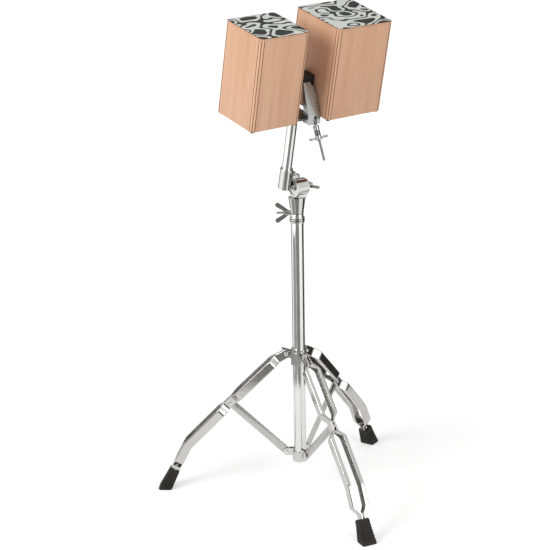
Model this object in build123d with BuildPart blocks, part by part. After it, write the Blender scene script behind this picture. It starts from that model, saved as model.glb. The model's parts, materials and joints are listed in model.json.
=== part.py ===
from build123d import *
import os
from math import atan2, cos, degrees, radians, sin

# Two wooden box hand drums on a folding, double braced metal stand.
# X runs along the pair of drums, the players' side is -Y, +Z is up.
# All sizes are in millimetres.

# ---- centre column ----
TUBE_RADIUS = 14.3
TUBE_WALL = 1.2
TUBE_BOTTOM = 76.5
TUBE_TOP = 671.0
HEIGHT_TUBE_RADIUS = 11.1
HEIGHT_TUBE_WALL = 1.2
HEIGHT_TUBE_BELOW = 420.0
RUNNING_FIT = 0.06
GAP = 0.3
TOUCH = 0.3
PLUG_RIM = 3.0
PLUG_INSET = 0.6
PLUG_DEPTH = 16.0
PLUG_ROUND = 1.2
GUIDE_RIM = 3.0
GUIDE_DEPTH = 14.0

# ---- legs ----
LEG_TURN = 19.2
LEG_NAMES = ("rear", "left", "front")
STRIP_WIDTH = 21.0
COLLAR_FLAT_WALL = 3.6
COLLAR_FLAT = TUBE_RADIUS + COLLAR_FLAT_WALL
LEG_CLEAR = 0.6
LEG_PIVOT = (COLLAR_FLAT + LEG_CLEAR + STRIP_WIDTH / 2, 338.0)
LEG_KNEE = (52.0, 325.0)
BRACE_JOINT = (160.0, 217.5)
LEG_BEND = (260.0, 114.0)
FOOT_ENTRY = (293.0, 48.5)
EAR_HALF = 2.0
STRIP_WALL = 1.8
STRIP_SPREAD = 20.0
STRIP_DEPTH = 8.5
PINCH_INSIDE = EAR_HALF + TOUCH
PINCH_DEPTH = 3.3
STRIP_PINCH = PINCH_INSIDE + PINCH_DEPTH
JOGGLE = 15.0
KNEE_AFTER = 23.0
PINCH_HALF = 13.0
LEG_SLOPE = 45.0
RIVET_RADIUS = 3.0
RIVET_HEAD = 4.6
RIVET_HEAD_RISE = 1.6
RIVET_ROUND = 0.7
RIVET_SHORT = 0.2

# ---- leg collar and braces ----
COLLAR_BOTTOM = 314.0
COLLAR_HEIGHT = 30.0
COLLAR_NECK_WALL = 2.7
COLLAR_NECK_RADIUS = TUBE_RADIUS + COLLAR_NECK_WALL
COLLAR_NECK_HEIGHT = 8.0
EAR_RADIUS = 8.5
COLLAR_ROOT = 1.8
COLLAR_ROUND = 3.0
LEG_BOLT_UP = 21.0
LEG_BOLT_RADIUS = 4.0
LEG_BOLT_BOSS_RADIUS = 7.5
LEG_BOLT_BOSS = 6.0
LEG_BOLT_HUB = 8.0
LEG_BOLT_WINGS = (50.0, -70.0)
LEG_BOLT_WING_TIP = (9.0, 24.0)
BRACE_PIVOT_OUT = 16.0
BRACE_PIVOT = (TUBE_RADIUS + BRACE_PIVOT_OUT, 96.3)
BRACE_WIDTH = 18.5
BRACE_COLLAR_WALL = 2.9
BRACE_COLLAR_RADIUS = TUBE_RADIUS + BRACE_COLLAR_WALL
BRACE_COLLAR_BOTTOM = 74.5
BRACE_COLLAR_HEIGHT = 24.5
BRACE_COLLAR_EDGE = 0.8
BRACE_EDGE = 0.8
BRACE_EAR_WALL = 2.4
BRACE_PLAY = 0.5
COLLAR_PIN_RADIUS = 3.4
COLLAR_PIN_UP = 7.0
COLLAR_PIN_RISE = 1.4

# ---- rubber feet ----
FOOT_FLAT_IN = 303.0
FOOT_FLAT_OUT = 329.5
FOOT_EDGE_WALL = 1.4
FOOT_TOP_HALF = STRIP_WIDTH / 2 + FOOT_EDGE_WALL
FOOT_SIDE_WALL = 5.2
FOOT_POCKET = STRIP_PINCH + RIVET_HEAD_RISE + TOUCH
FOOT_TOP_SIDE = FOOT_POCKET + FOOT_SIDE_WALL
FOOT_BASE_SIDE = 17.0
FOOT_TOE = (2.6, 3.0)
FOOT_HEEL = (3.0, 3.0)
FOOT_ROUND = 3.0
FOOT_PRESS = 10.0

# ---- height clamp ----
CLAMP_DROP = 20.6
CLAMP_BOTTOM = TUBE_TOP - CLAMP_DROP
CLAMP_HEIGHT = 13.9
CLAMP_WALL = 2.3
CLAMP_RADIUS = TUBE_RADIUS + CLAMP_WALL
CLAMP_ROUND = 1.2
CLAMP_BOLT_OUT = 7.2
CLAMP_BOLT_AWAY = TUBE_RADIUS + CLAMP_BOLT_OUT
CLAMP_BOLT_RISE = -4.6
CLAMP_BOLT_HEIGHT = TUBE_TOP + CLAMP_BOLT_RISE
CLAMP_BOLT_RADIUS = 3.0
CLAMP_BOLT_HEAD = 4.5
CLAMP_BOLT_HEAD_RADIUS = 5.5
CLAMP_BOLT_REACH = 46.0
CLAMP_DIRECTION = 142.9
LUG_INSIDE = 1.5
LUG_OUTSIDE = 9.0
LUG_RADIUS = 6.5
BUSH_DEPTH = 34.0
BUSH_FLANGE = 1.0
SEAT = 0.1

# ---- wing hardware ----
HUB_RADIUS = 6.0
WING_THICK = 3.6
WING_ROOT = 3.6
WING_TIP = 5.0
WING_ROOT_AT = (3.6, 3.0)
CLAMP_NUT_FLANGE = 4.0
CLAMP_NUT_LENGTH = 18.0
CLAMP_NUT_WING_START = 8.0
CLAMP_NUT_WING_TIP = (26.0, 18.0)
TILTER_NUT_RADIUS = 7.6
TILTER_NUT_LENGTH = 13.0
TILTER_NUT_WING_TIP = (18.0, 21.0)
TILTER_NUT_TURN = 8.0

# ---- rod ----
ROD_RADIUS = 11.1
ROD_WALL = 1.4
ROD_X = -19.5
ROD_BACK = 19.0
ROD_FOOT = 2.0
ROD_END_DEPTH = 16.0
ROD_SCREW_RADIUS = 4.0
ROD_SCREW_HEAD_RADIUS = 7.0
ROD_SCREW_HEAD = 4.0
ROD_SCREW_DEPTH = 12.0
ROD_SCREW_ROUND = 1.0

# ---- tilter ----
TILT_RISE = 59.2
TILT_HEIGHT = TUBE_TOP + TILT_RISE
TILT = 11.85
DISC_RADIUS = 20.3
DISC_FACE = -11.0
DISC_BACK = -5.0
BARREL_END = 21.5
TILTER_WALL = 3.5
TILTER_TAPER_LOW = HEIGHT_TUBE_RADIUS + TILTER_WALL
TILTER_TAPER_HIGH = 19.4
TILTER_SHOULDER = 36.0
TILTER_BARREL_INSET = 0.6
TILTER_NECK_WIDTH = 25.0
AXLE_RADIUS = 4.0
AXLE_HEAD_RADIUS = 6.2
AXLE_HEAD = 1.6
AXLE_PAST = 22.0
WASHER_RADIUS = 12.0
WASHER_THICK = 1.6
TILTER_NECK_END = 18.0
TILTER_SOCKET_DEPTH = 27.0
SLOT_START = 4.0
SLOT_WIDTH = 2.4
SLOT_DEPTH = 8.0
DISH_RIM = 5.0
DISH_HUB = 7.0
DISH_DEPTH = 2.4
CROSS_PIN_RADIUS = 2.0
CROSS_PIN_UP = 14.0
CROSS_PIN_RISE = 2.4
CLAMP_LUG_LEFT = -17.0
CLAMP_LUG_RIGHT = -3.0
CLAMP_SCREW_ROOM = 6.4
CLAMP_SCREW_BACK = ROD_BACK - ROD_RADIUS - CLAMP_SCREW_ROOM
CLAMP_SCREW_UP = 28.0
CLAMP_SCREW_RADIUS = 2.6
CLAMP_SCREW_HEAD = 5.0
CLAMP_SCREW_HEAD_RADIUS = 5.4
CLAMP_LUG_RADIUS = 6.0
SOCKET_WALL = 3.2
SOCKET_RADIUS = ROD_RADIUS + SOCKET_WALL
SOCKET_TOP = 42.0
SOCKET_BOTTOM = -6.0
SOCKET_WEB = 5.0

# ---- drums, in the tilted frame ----
DRUM_BOTTOM = 171.0
DRUM_HEIGHT = 209.0
DRUM_BACK = 36.0
SMALL_DRUM_WIDTH = 127.6
LARGE_DRUM_WIDTH = 150.4
GAP_LEFT = -40.0
GAP_RIGHT = 28.6
PANEL_THICK = 9.0
POST_SIZE = 16.0
CORNER_RADIUS = 9.0
GROOVE_RADIUS = 0.8
GROOVE_ANGLES = (4, 45, 86)
HEAD_THICK = 3.6
BATTEN = 12.0
DRUM_FOOT_RADIUS = 5.0
DRUM_FOOT_HEIGHT = 3.4
DRUM_FOOT_ROUND = 0.8

# ---- bracket between the drums ----
BLOCK_DEPTH = 32.0
BLOCK_LOW = 231.0
BLOCK_HIGH = 255.0
BLOCK_BOLT_RADIUS = 3.0
BLOCK_BOLT_SPREAD = 18.0
BLOCK_BOLT_HEAD_RADIUS = 6.0
BLOCK_BOLT_HEAD = 2.0
BLOCK_ROUND = 1.5
PLATE_THICK = 5.5
PLATE_TOP = 166.0
PLATE_LEFT = -34.0
PLATE_RIGHT = 24.0
PLATE_FRONT = 1.2
BACK_PLATE_THICK = 4.0
PLATE_LIP = 9.0
PLATE_LIP_THICK = 3.0
PLATE_LEDGE = 10.0
JAW_LEFT = -6.0
JAW_RIGHT = 27.0
JAW_THICK = 3.0
JAW_WALL = 2.4
JAW_CORNER = 16.0
JAW_TOP = (18.0, 243.0)
JAW_BEND = (-15.0, 178.0)
JAW_LIP = (-20.0, 158.0)
JAW_PIN = (-4.0, 163.0)
PIN_RADIUS = 3.0
KNUCKLE_RADIUS = 5.6
JAW_PIN_HEAD = 1.6
JAW_PIN_PAST = 0.7
JAW_SLOT_ROOM = 1.0
JAW_SLOT_PAST = 2.5
JAW_FLANGE_LOW = (3.0, -4.6)
JAW_FLANGE_HIGH = (4.6, 8.0)
BOLT_X = 12.8
BOLT_LEAN = 33.6
BOLT_START = (9.0, 201.0)
BOLT_LENGTH = 133.0
BOLT_LUG_FRONT = 4.0
BOLT_LUG_BACK = 17.0
BOLT_LUG_HALF = 8.0
BOLT_LUG_TOP = 206.0
BOLT_RADIUS = 3.1
NUT_START = 53.6
NUT_LENGTH = 33.5
NUT_RADIUS = 6.6
HANDLE_RADIUS = 2.6
HANDLE_HALF = 22.0
HANDLE_FROM_END = 5.0
HANDLE_TURN = 36.9
NUT_ROUND = 1.0

os.makedirs("parts", exist_ok=True)
pieces = []

# The tilted frame: x as the object's, y backwards, z up along the rod.
HEAD = Plane(
    origin=(0, 0, TILT_HEIGHT),
    x_dir=(1, 0, 0),
    z_dir=(0, -sin(radians(TILT)), cos(radians(TILT))),
)
HEAD_SIDE = Plane(
    origin=(0, 0, TILT_HEIGHT),
    x_dir=(0, cos(radians(TILT)), sin(radians(TILT))),
    z_dir=(1, 0, 0),
)


def keep(piece, label):
    """Labels a finished piece and keeps it for export."""
    piece.part.label = label
    pieces.append(piece)


def along(angle):
    """The level direction at an angle from +X, counter-clockwise seen from above."""
    return Vector(cos(radians(angle)), sin(radians(angle)), 0)


def side_plane(angle):
    """The upright plane through the column at an angle: outwards, then up."""
    return Plane(origin=(0, 0, 0), x_dir=along(angle), z_dir=along(angle - 90))


def run_plane(angle):
    """The plane that holds a leg's main slope and its sideways direction."""
    drop = radians(LEG_SLOPE)
    run = along(angle) * cos(drop) - Vector(0, 0, 1) * sin(drop)
    face = along(angle) * sin(drop) + Vector(0, 0, 1) * cos(drop)
    return Plane(origin=(0, 0, 0), x_dir=run, z_dir=face)


def run_of(point):
    """How far along the leg's main slope a point of the side plane lies."""
    drop = radians(LEG_SLOPE)
    return point[0] * cos(drop) - point[1] * sin(drop)


def fastener_plane(start, axis, radial):
    """The plane through a fastener: x along its axis, y along one wing."""
    return Plane(origin=start, x_dir=axis, z_dir=Vector(axis).cross(Vector(radial)))


def axis_plane(start, axis):
    """The plane square to a fastener's axis."""
    return Plane(origin=start, z_dir=axis)


LEG_ANGLES = {name: LEG_TURN + 120.0 * step for step, name in enumerate(LEG_NAMES)}

# ================= centre column =================

with BuildPart() as base_tube:
    with BuildSketch(Plane.XY.offset(TUBE_BOTTOM)):
        Circle(TUBE_RADIUS)
        Circle(TUBE_RADIUS - TUBE_WALL, mode=Mode.SUBTRACT)
    extrude(amount=TUBE_TOP - TUBE_BOTTOM)
keep(base_tube, "base_tube")

with BuildPart() as tube_plug:
    with BuildSketch(Plane.XY.offset(TUBE_BOTTOM - PLUG_RIM)):
        Circle(TUBE_RADIUS - PLUG_INSET)
    extrude(amount=PLUG_RIM)
    with BuildSketch(Plane.XY.offset(TUBE_BOTTOM)):
        Circle(TUBE_RADIUS - TUBE_WALL - RUNNING_FIT)
    extrude(amount=PLUG_DEPTH)
    fillet(tube_plug.edges().sort_by(Axis.Z)[0], PLUG_ROUND)
keep(tube_plug, "tube_plug")

pin_way = along(LEG_TURN + 60)
pin_plane = axis_plane((0, 0, BRACE_COLLAR_BOTTOM + COLLAR_PIN_UP), pin_way)

with BuildPart() as brace_collar:
    with BuildSketch(Plane.XY.offset(BRACE_COLLAR_BOTTOM)):
        Circle(BRACE_COLLAR_RADIUS)
        Circle(TUBE_RADIUS + RUNNING_FIT, mode=Mode.SUBTRACT)
    extrude(amount=BRACE_COLLAR_HEIGHT)
    outer_rims = brace_collar.edges().filter_by(GeomType.CIRCLE).group_by(SortBy.RADIUS)[-1]
    chamfer(outer_rims, BRACE_COLLAR_EDGE)
    ear_offset = EAR_HALF + BRACE_PLAY + BRACE_EAR_WALL / 2
    for angle in LEG_ANGLES.values():
        for side in (-1, 1):
            with BuildSketch(side_plane(angle).offset(side * ear_offset)):
                with Locations(BRACE_PIVOT):
                    Circle(EAR_RADIUS)
                with Locations(((TUBE_RADIUS + BRACE_COLLAR_RADIUS) / 2 + TOUCH, BRACE_PIVOT[1])):
                    Rectangle(COLLAR_ROOT, 2 * EAR_RADIUS)
                make_hull()
                with Locations(BRACE_PIVOT):
                    Circle(RIVET_RADIUS + RUNNING_FIT, mode=Mode.SUBTRACT)
            extrude(amount=BRACE_EAR_WALL / 2, both=True)
    with BuildSketch(pin_plane):
        Circle(COLLAR_PIN_RADIUS + RUNNING_FIT)
    extrude(amount=2 * BRACE_COLLAR_RADIUS, mode=Mode.SUBTRACT)
keep(brace_collar, "brace_collar")

with BuildPart() as collar_pin:
    with BuildSketch(pin_plane.offset(TUBE_RADIUS + RUNNING_FIT)):
        Circle(COLLAR_PIN_RADIUS)
    extrude(amount=BRACE_COLLAR_RADIUS - TUBE_RADIUS + COLLAR_PIN_RISE)
    pin_line = Axis(origin=(0, 0, 0), direction=pin_way)
    fillet(collar_pin.edges().sort_by(pin_line)[-1], COLLAR_PIN_RISE - TOUCH)
keep(collar_pin, "brace_collar_pin")

# ================= leg collar =================

with BuildPart() as leg_collar:
    with BuildSketch(Plane.XY.offset(COLLAR_BOTTOM)):
        RegularPolygon(radius=COLLAR_FLAT, side_count=6, major_radius=False, rotation=LEG_TURN + 30)
    extrude(amount=COLLAR_HEIGHT)
    fillet(leg_collar.edges().filter_by(Axis.Z), COLLAR_ROUND)
    with BuildSketch(Plane.XY.offset(COLLAR_BOTTOM + COLLAR_HEIGHT)):
        Circle(COLLAR_NECK_RADIUS)
    extrude(amount=COLLAR_NECK_HEIGHT)
    for angle in LEG_ANGLES.values():
        with BuildSketch(side_plane(angle)):
            with Locations(LEG_PIVOT):
                Circle(EAR_RADIUS)
            with Locations((COLLAR_NECK_RADIUS - COLLAR_ROOT / 2, LEG_PIVOT[1] - COLLAR_ROUND)):
                Rectangle(COLLAR_ROOT, 2 * EAR_RADIUS)
            make_hull()
        extrude(amount=EAR_HALF, both=True)
    for angle in LEG_ANGLES.values():
        with BuildSketch(side_plane(angle)):
            with Locations(LEG_PIVOT):
                Circle(RIVET_RADIUS + RUNNING_FIT)
        extrude(amount=2 * EAR_HALF, both=True, mode=Mode.SUBTRACT)
    bolt_way = along(LEG_TURN + 60)
    boss_start = (0, 0, COLLAR_BOTTOM + LEG_BOLT_UP)
    with BuildSketch(axis_plane(boss_start, bolt_way).offset(TUBE_RADIUS + 1)):
        Circle(LEG_BOLT_BOSS_RADIUS)
    extrude(amount=COLLAR_FLAT + LEG_BOLT_BOSS - TUBE_RADIUS - 1)
    with BuildSketch(axis_plane(boss_start, bolt_way)):
        Circle(LEG_BOLT_RADIUS + RUNNING_FIT)
    extrude(amount=COLLAR_FLAT + LEG_BOLT_BOSS + 1, mode=Mode.SUBTRACT)
    with BuildSketch(Plane.XY.offset(COLLAR_BOTTOM)):
        Circle(TUBE_RADIUS + GAP)
    extrude(amount=COLLAR_HEIGHT + COLLAR_NECK_HEIGHT, mode=Mode.SUBTRACT)
keep(leg_collar, "leg_collar")


def wing_pair(start, axis, radials, tip):
    """Two wings: each is the hull of a root circle and a tip circle, as thick as a casting."""
    with BuildPart() as wings:
        for radial in radials:
            with BuildSketch(fastener_plane(start, axis, radial)):
                with Locations(WING_ROOT_AT):
                    Circle(WING_ROOT)
                with Locations(tip):
                    Circle(WING_TIP)
                make_hull()
            extrude(amount=WING_THICK / 2, both=True)
    return wings.part


def turned(radial, axis, angle):
    """A direction turned about an axis by an angle."""
    return Vector(radial).rotate(Axis(origin=(0, 0, 0), direction=axis), angle)


with BuildPart() as leg_wing_bolt:
    hub_start = Vector(*boss_start) + bolt_way * (COLLAR_FLAT + LEG_BOLT_BOSS + TOUCH)
    with BuildSketch(axis_plane(hub_start, bolt_way)):
        Circle(HUB_RADIUS)
    extrude(amount=LEG_BOLT_HUB)
    with BuildSketch(axis_plane(boss_start, bolt_way).offset(TUBE_RADIUS + GAP + TOUCH)):
        Circle(LEG_BOLT_RADIUS)
    extrude(amount=COLLAR_FLAT + LEG_BOLT_BOSS + 2 - TUBE_RADIUS)
    bolt_radials = [turned(Vector(0, 0, 1), bolt_way, turn) for turn in LEG_BOLT_WINGS]
    add(wing_pair(hub_start, bolt_way, bolt_radials, LEG_BOLT_WING_TIP))
keep(leg_wing_bolt, "leg_wing_bolt")

# ================= legs and braces =================


def leg_outline(width):
    """The leg seen from the side: a round ended strip laid along the leg's path."""
    path = (LEG_PIVOT, LEG_KNEE, BRACE_JOINT, LEG_BEND, FOOT_ENTRY)
    for start, end in zip(path, path[1:]):
        run = Vector(end[0] - start[0], end[1] - start[1])
        middle = ((start[0] + end[0]) / 2, (start[1] + end[1]) / 2)
        slope = degrees(atan2(run.Y, run.X))
        with Locations(middle):
            SlotCenterToCenter(run.length, width, rotation=slope)


def leg_band(outer_wide, outer_pinch, inner_wide, inner_pinch):
    """The leg seen on its slope: pressed together at the collar, the brace and the foot."""
    start = run_of(LEG_PIVOT)
    middle = run_of(BRACE_JOINT)
    foot = run_of(FOOT_ENTRY)
    stations = (
        (start - STRIP_WIDTH, 0),
        (start + KNEE_AFTER, 0),
        (start + KNEE_AFTER + JOGGLE, 1),
        (middle - PINCH_HALF - JOGGLE, 1),
        (middle - PINCH_HALF, 0),
        (middle + PINCH_HALF, 0),
        (middle + PINCH_HALF + JOGGLE, 1),
        (foot - FOOT_PRESS - JOGGLE, 1),
        (foot - FOOT_PRESS, 0),
        (foot + STRIP_WIDTH, 0),
    )
    outer = [(run, outer_wide if wide else outer_pinch) for run, wide in stations]
    inner = [(run, inner_wide if wide else inner_pinch) for run, wide in stations]
    return outer + inner[::-1]


def leg_channel(angle, side, width, band):
    """Where the side outline and the sloped band of a leg strip meet."""
    with BuildPart() as channel:
        with BuildSketch(side_plane(angle)):
            leg_outline(width)
        extrude(amount=2 * STRIP_SPREAD, both=True)
        with BuildSketch(run_plane(angle)):
            with BuildLine():
                Polyline([(run, side * offset) for run, offset in band], close=True)
            make_face()
        extrude(amount=LEG_PIVOT[1], both=True, mode=Mode.INTERSECT)
    return channel.part


strip_band = leg_band(STRIP_SPREAD, STRIP_PINCH, STRIP_SPREAD - STRIP_DEPTH, PINCH_INSIDE)
hollow_band = leg_band(
    STRIP_SPREAD - STRIP_WALL,
    STRIP_PINCH - STRIP_WALL,
    STRIP_SPREAD - STRIP_DEPTH - 1,
    PINCH_INSIDE - 1,
)

for name, angle in LEG_ANGLES.items():
    leg_side = side_plane(angle)
    for strip_name, side in (("a", 1), ("b", -1)):
        outside = leg_channel(angle, side, STRIP_WIDTH, strip_band)
        hollow = leg_channel(angle, side, STRIP_WIDTH - 2 * STRIP_WALL, hollow_band)
        with BuildPart() as strip:
            add(outside)
            add(hollow, mode=Mode.SUBTRACT)
            with BuildSketch(leg_side):
                with Locations(LEG_PIVOT, BRACE_JOINT, FOOT_ENTRY):
                    Circle(RIVET_RADIUS + RUNNING_FIT)
            extrude(amount=2 * STRIP_SPREAD, both=True, mode=Mode.SUBTRACT)
        keep(strip, f"{name}_leg_strip_{strip_name}")

    with BuildPart() as rivets:
        with BuildSketch(leg_side):
            with Locations(LEG_PIVOT, FOOT_ENTRY):
                Circle(RIVET_RADIUS)
        extrude(amount=STRIP_PINCH, both=True)
        for side in (-1, 1):
            with BuildSketch(leg_side.offset(side * STRIP_PINCH)):
                with Locations(LEG_PIVOT, BRACE_JOINT, FOOT_ENTRY):
                    Circle(RIVET_HEAD)
            extrude(amount=side * RIVET_HEAD_RISE)
            with BuildSketch(leg_side.offset(side * (PINCH_INSIDE + RIVET_SHORT))):
                with Locations(BRACE_JOINT):
                    Circle(RIVET_RADIUS)
            extrude(amount=side * (STRIP_PINCH - PINCH_INSIDE - RIVET_SHORT))
        head_rims = rivets.edges().filter_by(GeomType.CIRCLE).group_by(SortBy.RADIUS)[-1]
        fillet(head_rims, RIVET_ROUND)
    keep(rivets, f"{name}_leg_rivets")

    with BuildPart() as brace:
        brace_run = Vector(BRACE_JOINT[0] - BRACE_PIVOT[0], BRACE_JOINT[1] - BRACE_PIVOT[1])
        brace_slope = degrees(atan2(brace_run.Y, brace_run.X))
        brace_middle = (
            (BRACE_JOINT[0] + BRACE_PIVOT[0]) / 2,
            (BRACE_JOINT[1] + BRACE_PIVOT[1]) / 2,
        )
        with BuildSketch(leg_side):
            with Locations(brace_middle):
                SlotCenterToCenter(brace_run.length, BRACE_WIDTH, rotation=brace_slope)
            with Locations(BRACE_PIVOT):
                Circle(RIVET_RADIUS + RUNNING_FIT, mode=Mode.SUBTRACT)
        extrude(amount=EAR_HALF, both=True)
        fillet(brace.edges().filter_by(GeomType.LINE).group_by(SortBy.LENGTH)[-1], BRACE_EDGE)
    keep(brace, f"{name}_brace")

    foot_up = Vector(FOOT_ENTRY[0] - LEG_BEND[0], FOOT_ENTRY[1] - LEG_BEND[1]).normalized()
    foot_across = Vector(-foot_up.Y, foot_up.X)
    top_in = Vector(*FOOT_ENTRY) - foot_across * FOOT_TOP_HALF
    top_out = Vector(*FOOT_ENTRY) + foot_across * FOOT_TOP_HALF
    with BuildPart() as foot:
        with BuildSketch(leg_side):
            with BuildLine():
                Polyline(
                    (FOOT_FLAT_IN, 0),
                    (FOOT_FLAT_OUT, 0),
                    (FOOT_FLAT_OUT + FOOT_TOE[0], FOOT_TOE[1]),
                    (top_out.X, top_out.Y),
                    (top_in.X, top_in.Y),
                    (FOOT_FLAT_IN - FOOT_HEEL[0], FOOT_HEEL[1]),
                    close=True,
                )
            make_face()
        extrude(amount=2 * FOOT_BASE_SIDE, both=True)
        with BuildSketch(run_plane(angle)):
            with BuildLine():
                near = run_of(FOOT_ENTRY) - FOOT_TOP_HALF
                far = run_of((FOOT_FLAT_OUT + FOOT_TOE[0], 0))
                Polyline(
                    (near, -FOOT_TOP_SIDE),
                    (far, -FOOT_BASE_SIDE),
                    (far, FOOT_BASE_SIDE),
                    (near, FOOT_TOP_SIDE),
                    close=True,
                )
            make_face()
        extrude(amount=LEG_PIVOT[1], both=True, mode=Mode.INTERSECT)
        fillet(foot.edges().filter_by(GeomType.LINE).group_by(SortBy.LENGTH)[-1], FOOT_ROUND)
        with BuildSketch(leg_side):
            leg_outline(STRIP_WIDTH + 2 * RUNNING_FIT)
        extrude(amount=FOOT_POCKET, both=True, mode=Mode.SUBTRACT)
    keep(foot, f"{name}_rubber_foot")

with BuildPart() as brace_pins:
    for angle in LEG_ANGLES.values():
        reach = EAR_HALF + BRACE_PLAY + BRACE_EAR_WALL
        with BuildSketch(side_plane(angle)):
            with Locations(BRACE_PIVOT):
                Circle(RIVET_RADIUS)
        extrude(amount=reach, both=True)
        for side in (-1, 1):
            with BuildSketch(side_plane(angle).offset(side * reach)):
                with Locations(BRACE_PIVOT):
                    Circle(RIVET_HEAD)
            extrude(amount=side * RIVET_HEAD_RISE)
keep(brace_pins, "brace_collar_rivets")

# ================= height clamp =================

clamp_left = along(CLAMP_DIRECTION)
clamp_away = along(CLAMP_DIRECTION - 90)
bolt_middle = clamp_away * CLAMP_BOLT_AWAY + Vector(0, 0, CLAMP_BOLT_HEIGHT)

with BuildPart() as height_clamp:
    with BuildSketch(Plane.XY.offset(CLAMP_BOTTOM)):
        Circle(CLAMP_RADIUS)
    extrude(amount=CLAMP_HEIGHT)
    fillet(height_clamp.edges().filter_by(GeomType.CIRCLE), CLAMP_ROUND)
    for side in (-1, 1):
        lug_plane = axis_plane(bolt_middle + clamp_left * side * LUG_INSIDE, clamp_left * side)
        with BuildSketch(lug_plane):
            Circle(LUG_RADIUS)
        extrude(amount=LUG_OUTSIDE - LUG_INSIDE)
        lug_foot = Plane(
            origin=Vector(0, 0, CLAMP_BOTTOM) + clamp_left * side * (LUG_INSIDE + LUG_OUTSIDE) / 2,
            x_dir=clamp_away,
            z_dir=(0, 0, 1),
        )
        with BuildSketch(lug_foot):
            with Locations((CLAMP_BOLT_AWAY - 1, 0)):
                Rectangle(2 * LUG_RADIUS - 2, LUG_OUTSIDE - LUG_INSIDE)
        extrude(amount=CLAMP_BOLT_HEIGHT - CLAMP_BOTTOM)
    with BuildSketch(axis_plane(bolt_middle - clamp_left * 2 * LUG_OUTSIDE, clamp_left)):
        Circle(CLAMP_BOLT_RADIUS + RUNNING_FIT)
    extrude(amount=4 * LUG_OUTSIDE, mode=Mode.SUBTRACT)
    slot = Plane(origin=(0, 0, CLAMP_BOTTOM - 1), x_dir=clamp_away, z_dir=(0, 0, 1))
    with BuildSketch(slot):
        with Locations((CLAMP_BOLT_AWAY, 0)):
            Rectangle(2 * CLAMP_BOLT_AWAY, 2 * LUG_INSIDE)
    extrude(amount=CLAMP_HEIGHT + 2 * CLAMP_BOLT_AWAY, mode=Mode.SUBTRACT)
    with BuildSketch(Plane.XY.offset(CLAMP_BOTTOM - 1)):
        Circle(TUBE_RADIUS + RUNNING_FIT)
    extrude(amount=2 * CLAMP_BOLT_AWAY, mode=Mode.SUBTRACT)
keep(height_clamp, "height_clamp")

with BuildPart() as clamp_bolt:
    head_face = bolt_middle - clamp_left * (LUG_OUTSIDE + CLAMP_BOLT_HEAD)
    with BuildSketch(axis_plane(head_face, clamp_left)):
        RegularPolygon(radius=CLAMP_BOLT_HEAD_RADIUS, side_count=6)
    extrude(amount=CLAMP_BOLT_HEAD)
    with BuildSketch(axis_plane(bolt_middle - clamp_left * LUG_OUTSIDE, clamp_left)):
        Circle(CLAMP_BOLT_RADIUS)
    extrude(amount=LUG_OUTSIDE + CLAMP_BOLT_REACH)
keep(clamp_bolt, "height_clamp_bolt")

with BuildPart() as height_wing_nut:
    nut_start = bolt_middle + clamp_left * (LUG_OUTSIDE + TOUCH)
    with BuildSketch(axis_plane(nut_start, clamp_left)):
        Circle(HUB_RADIUS + 1)
    extrude(amount=CLAMP_NUT_FLANGE)
    with BuildSketch(axis_plane(nut_start, clamp_left)):
        Circle(HUB_RADIUS)
    extrude(amount=CLAMP_NUT_LENGTH)
    nut_radials = (Vector(0, 0, 1), Vector(0, 0, -1))
    wing_start = nut_start + clamp_left * CLAMP_NUT_WING_START
    add(wing_pair(wing_start, clamp_left, nut_radials, CLAMP_NUT_WING_TIP))
    with BuildSketch(axis_plane(nut_start, clamp_left)):
        Circle(CLAMP_BOLT_RADIUS + RUNNING_FIT)
    extrude(amount=CLAMP_BOLT_REACH, mode=Mode.SUBTRACT)
keep(height_wing_nut, "height_wing_nut")

with BuildPart() as tube_bush:
    with BuildSketch(Plane.XY.offset(TUBE_TOP - BUSH_DEPTH)):
        Circle(TUBE_RADIUS - TUBE_WALL - RUNNING_FIT)
    extrude(amount=BUSH_DEPTH + SEAT)
    with BuildSketch(Plane.XY.offset(TUBE_TOP + SEAT)):
        Circle(TUBE_RADIUS)
    extrude(amount=BUSH_FLANGE)
    with BuildSketch(Plane.XY.offset(TUBE_TOP - BUSH_DEPTH)):
        Circle(HEIGHT_TUBE_RADIUS + RUNNING_FIT)
    extrude(amount=2 * BUSH_DEPTH, mode=Mode.SUBTRACT)
keep(tube_bush, "tube_bush")

# ================= height tube and tilter =================

TILTER_BOTTOM = TUBE_TOP + SEAT + BUSH_FLANGE + TOUCH
CROSS_PIN_HEIGHT = TILTER_BOTTOM + CROSS_PIN_UP
cross_pin = Plane.XZ.offset(-TILTER_TAPER_HIGH - 1)

with BuildPart() as height_tube:
    with BuildSketch(Plane.XY.offset(TUBE_TOP - HEIGHT_TUBE_BELOW)):
        Circle(HEIGHT_TUBE_RADIUS)
        Circle(HEIGHT_TUBE_RADIUS - HEIGHT_TUBE_WALL, mode=Mode.SUBTRACT)
    extrude(amount=HEIGHT_TUBE_BELOW + TILTER_SOCKET_DEPTH - 1)
    with BuildSketch(cross_pin):
        with Locations((0, CROSS_PIN_HEIGHT)):
            Circle(CROSS_PIN_RADIUS + RUNNING_FIT)
    extrude(amount=TILTER_TAPER_HIGH + 1, mode=Mode.SUBTRACT)
keep(height_tube, "height_tube")

with BuildPart() as tube_guide:
    with BuildSketch(Plane.XY.offset(TUBE_TOP - HEIGHT_TUBE_BELOW - GUIDE_RIM)):
        Circle(TUBE_RADIUS - TUBE_WALL - GAP)
    extrude(amount=GUIDE_RIM)
    with BuildSketch(Plane.XY.offset(TUBE_TOP - HEIGHT_TUBE_BELOW)):
        Circle(HEIGHT_TUBE_RADIUS - HEIGHT_TUBE_WALL - RUNNING_FIT)
    extrude(amount=GUIDE_DEPTH)
keep(tube_guide, "height_tube_guide")

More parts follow.
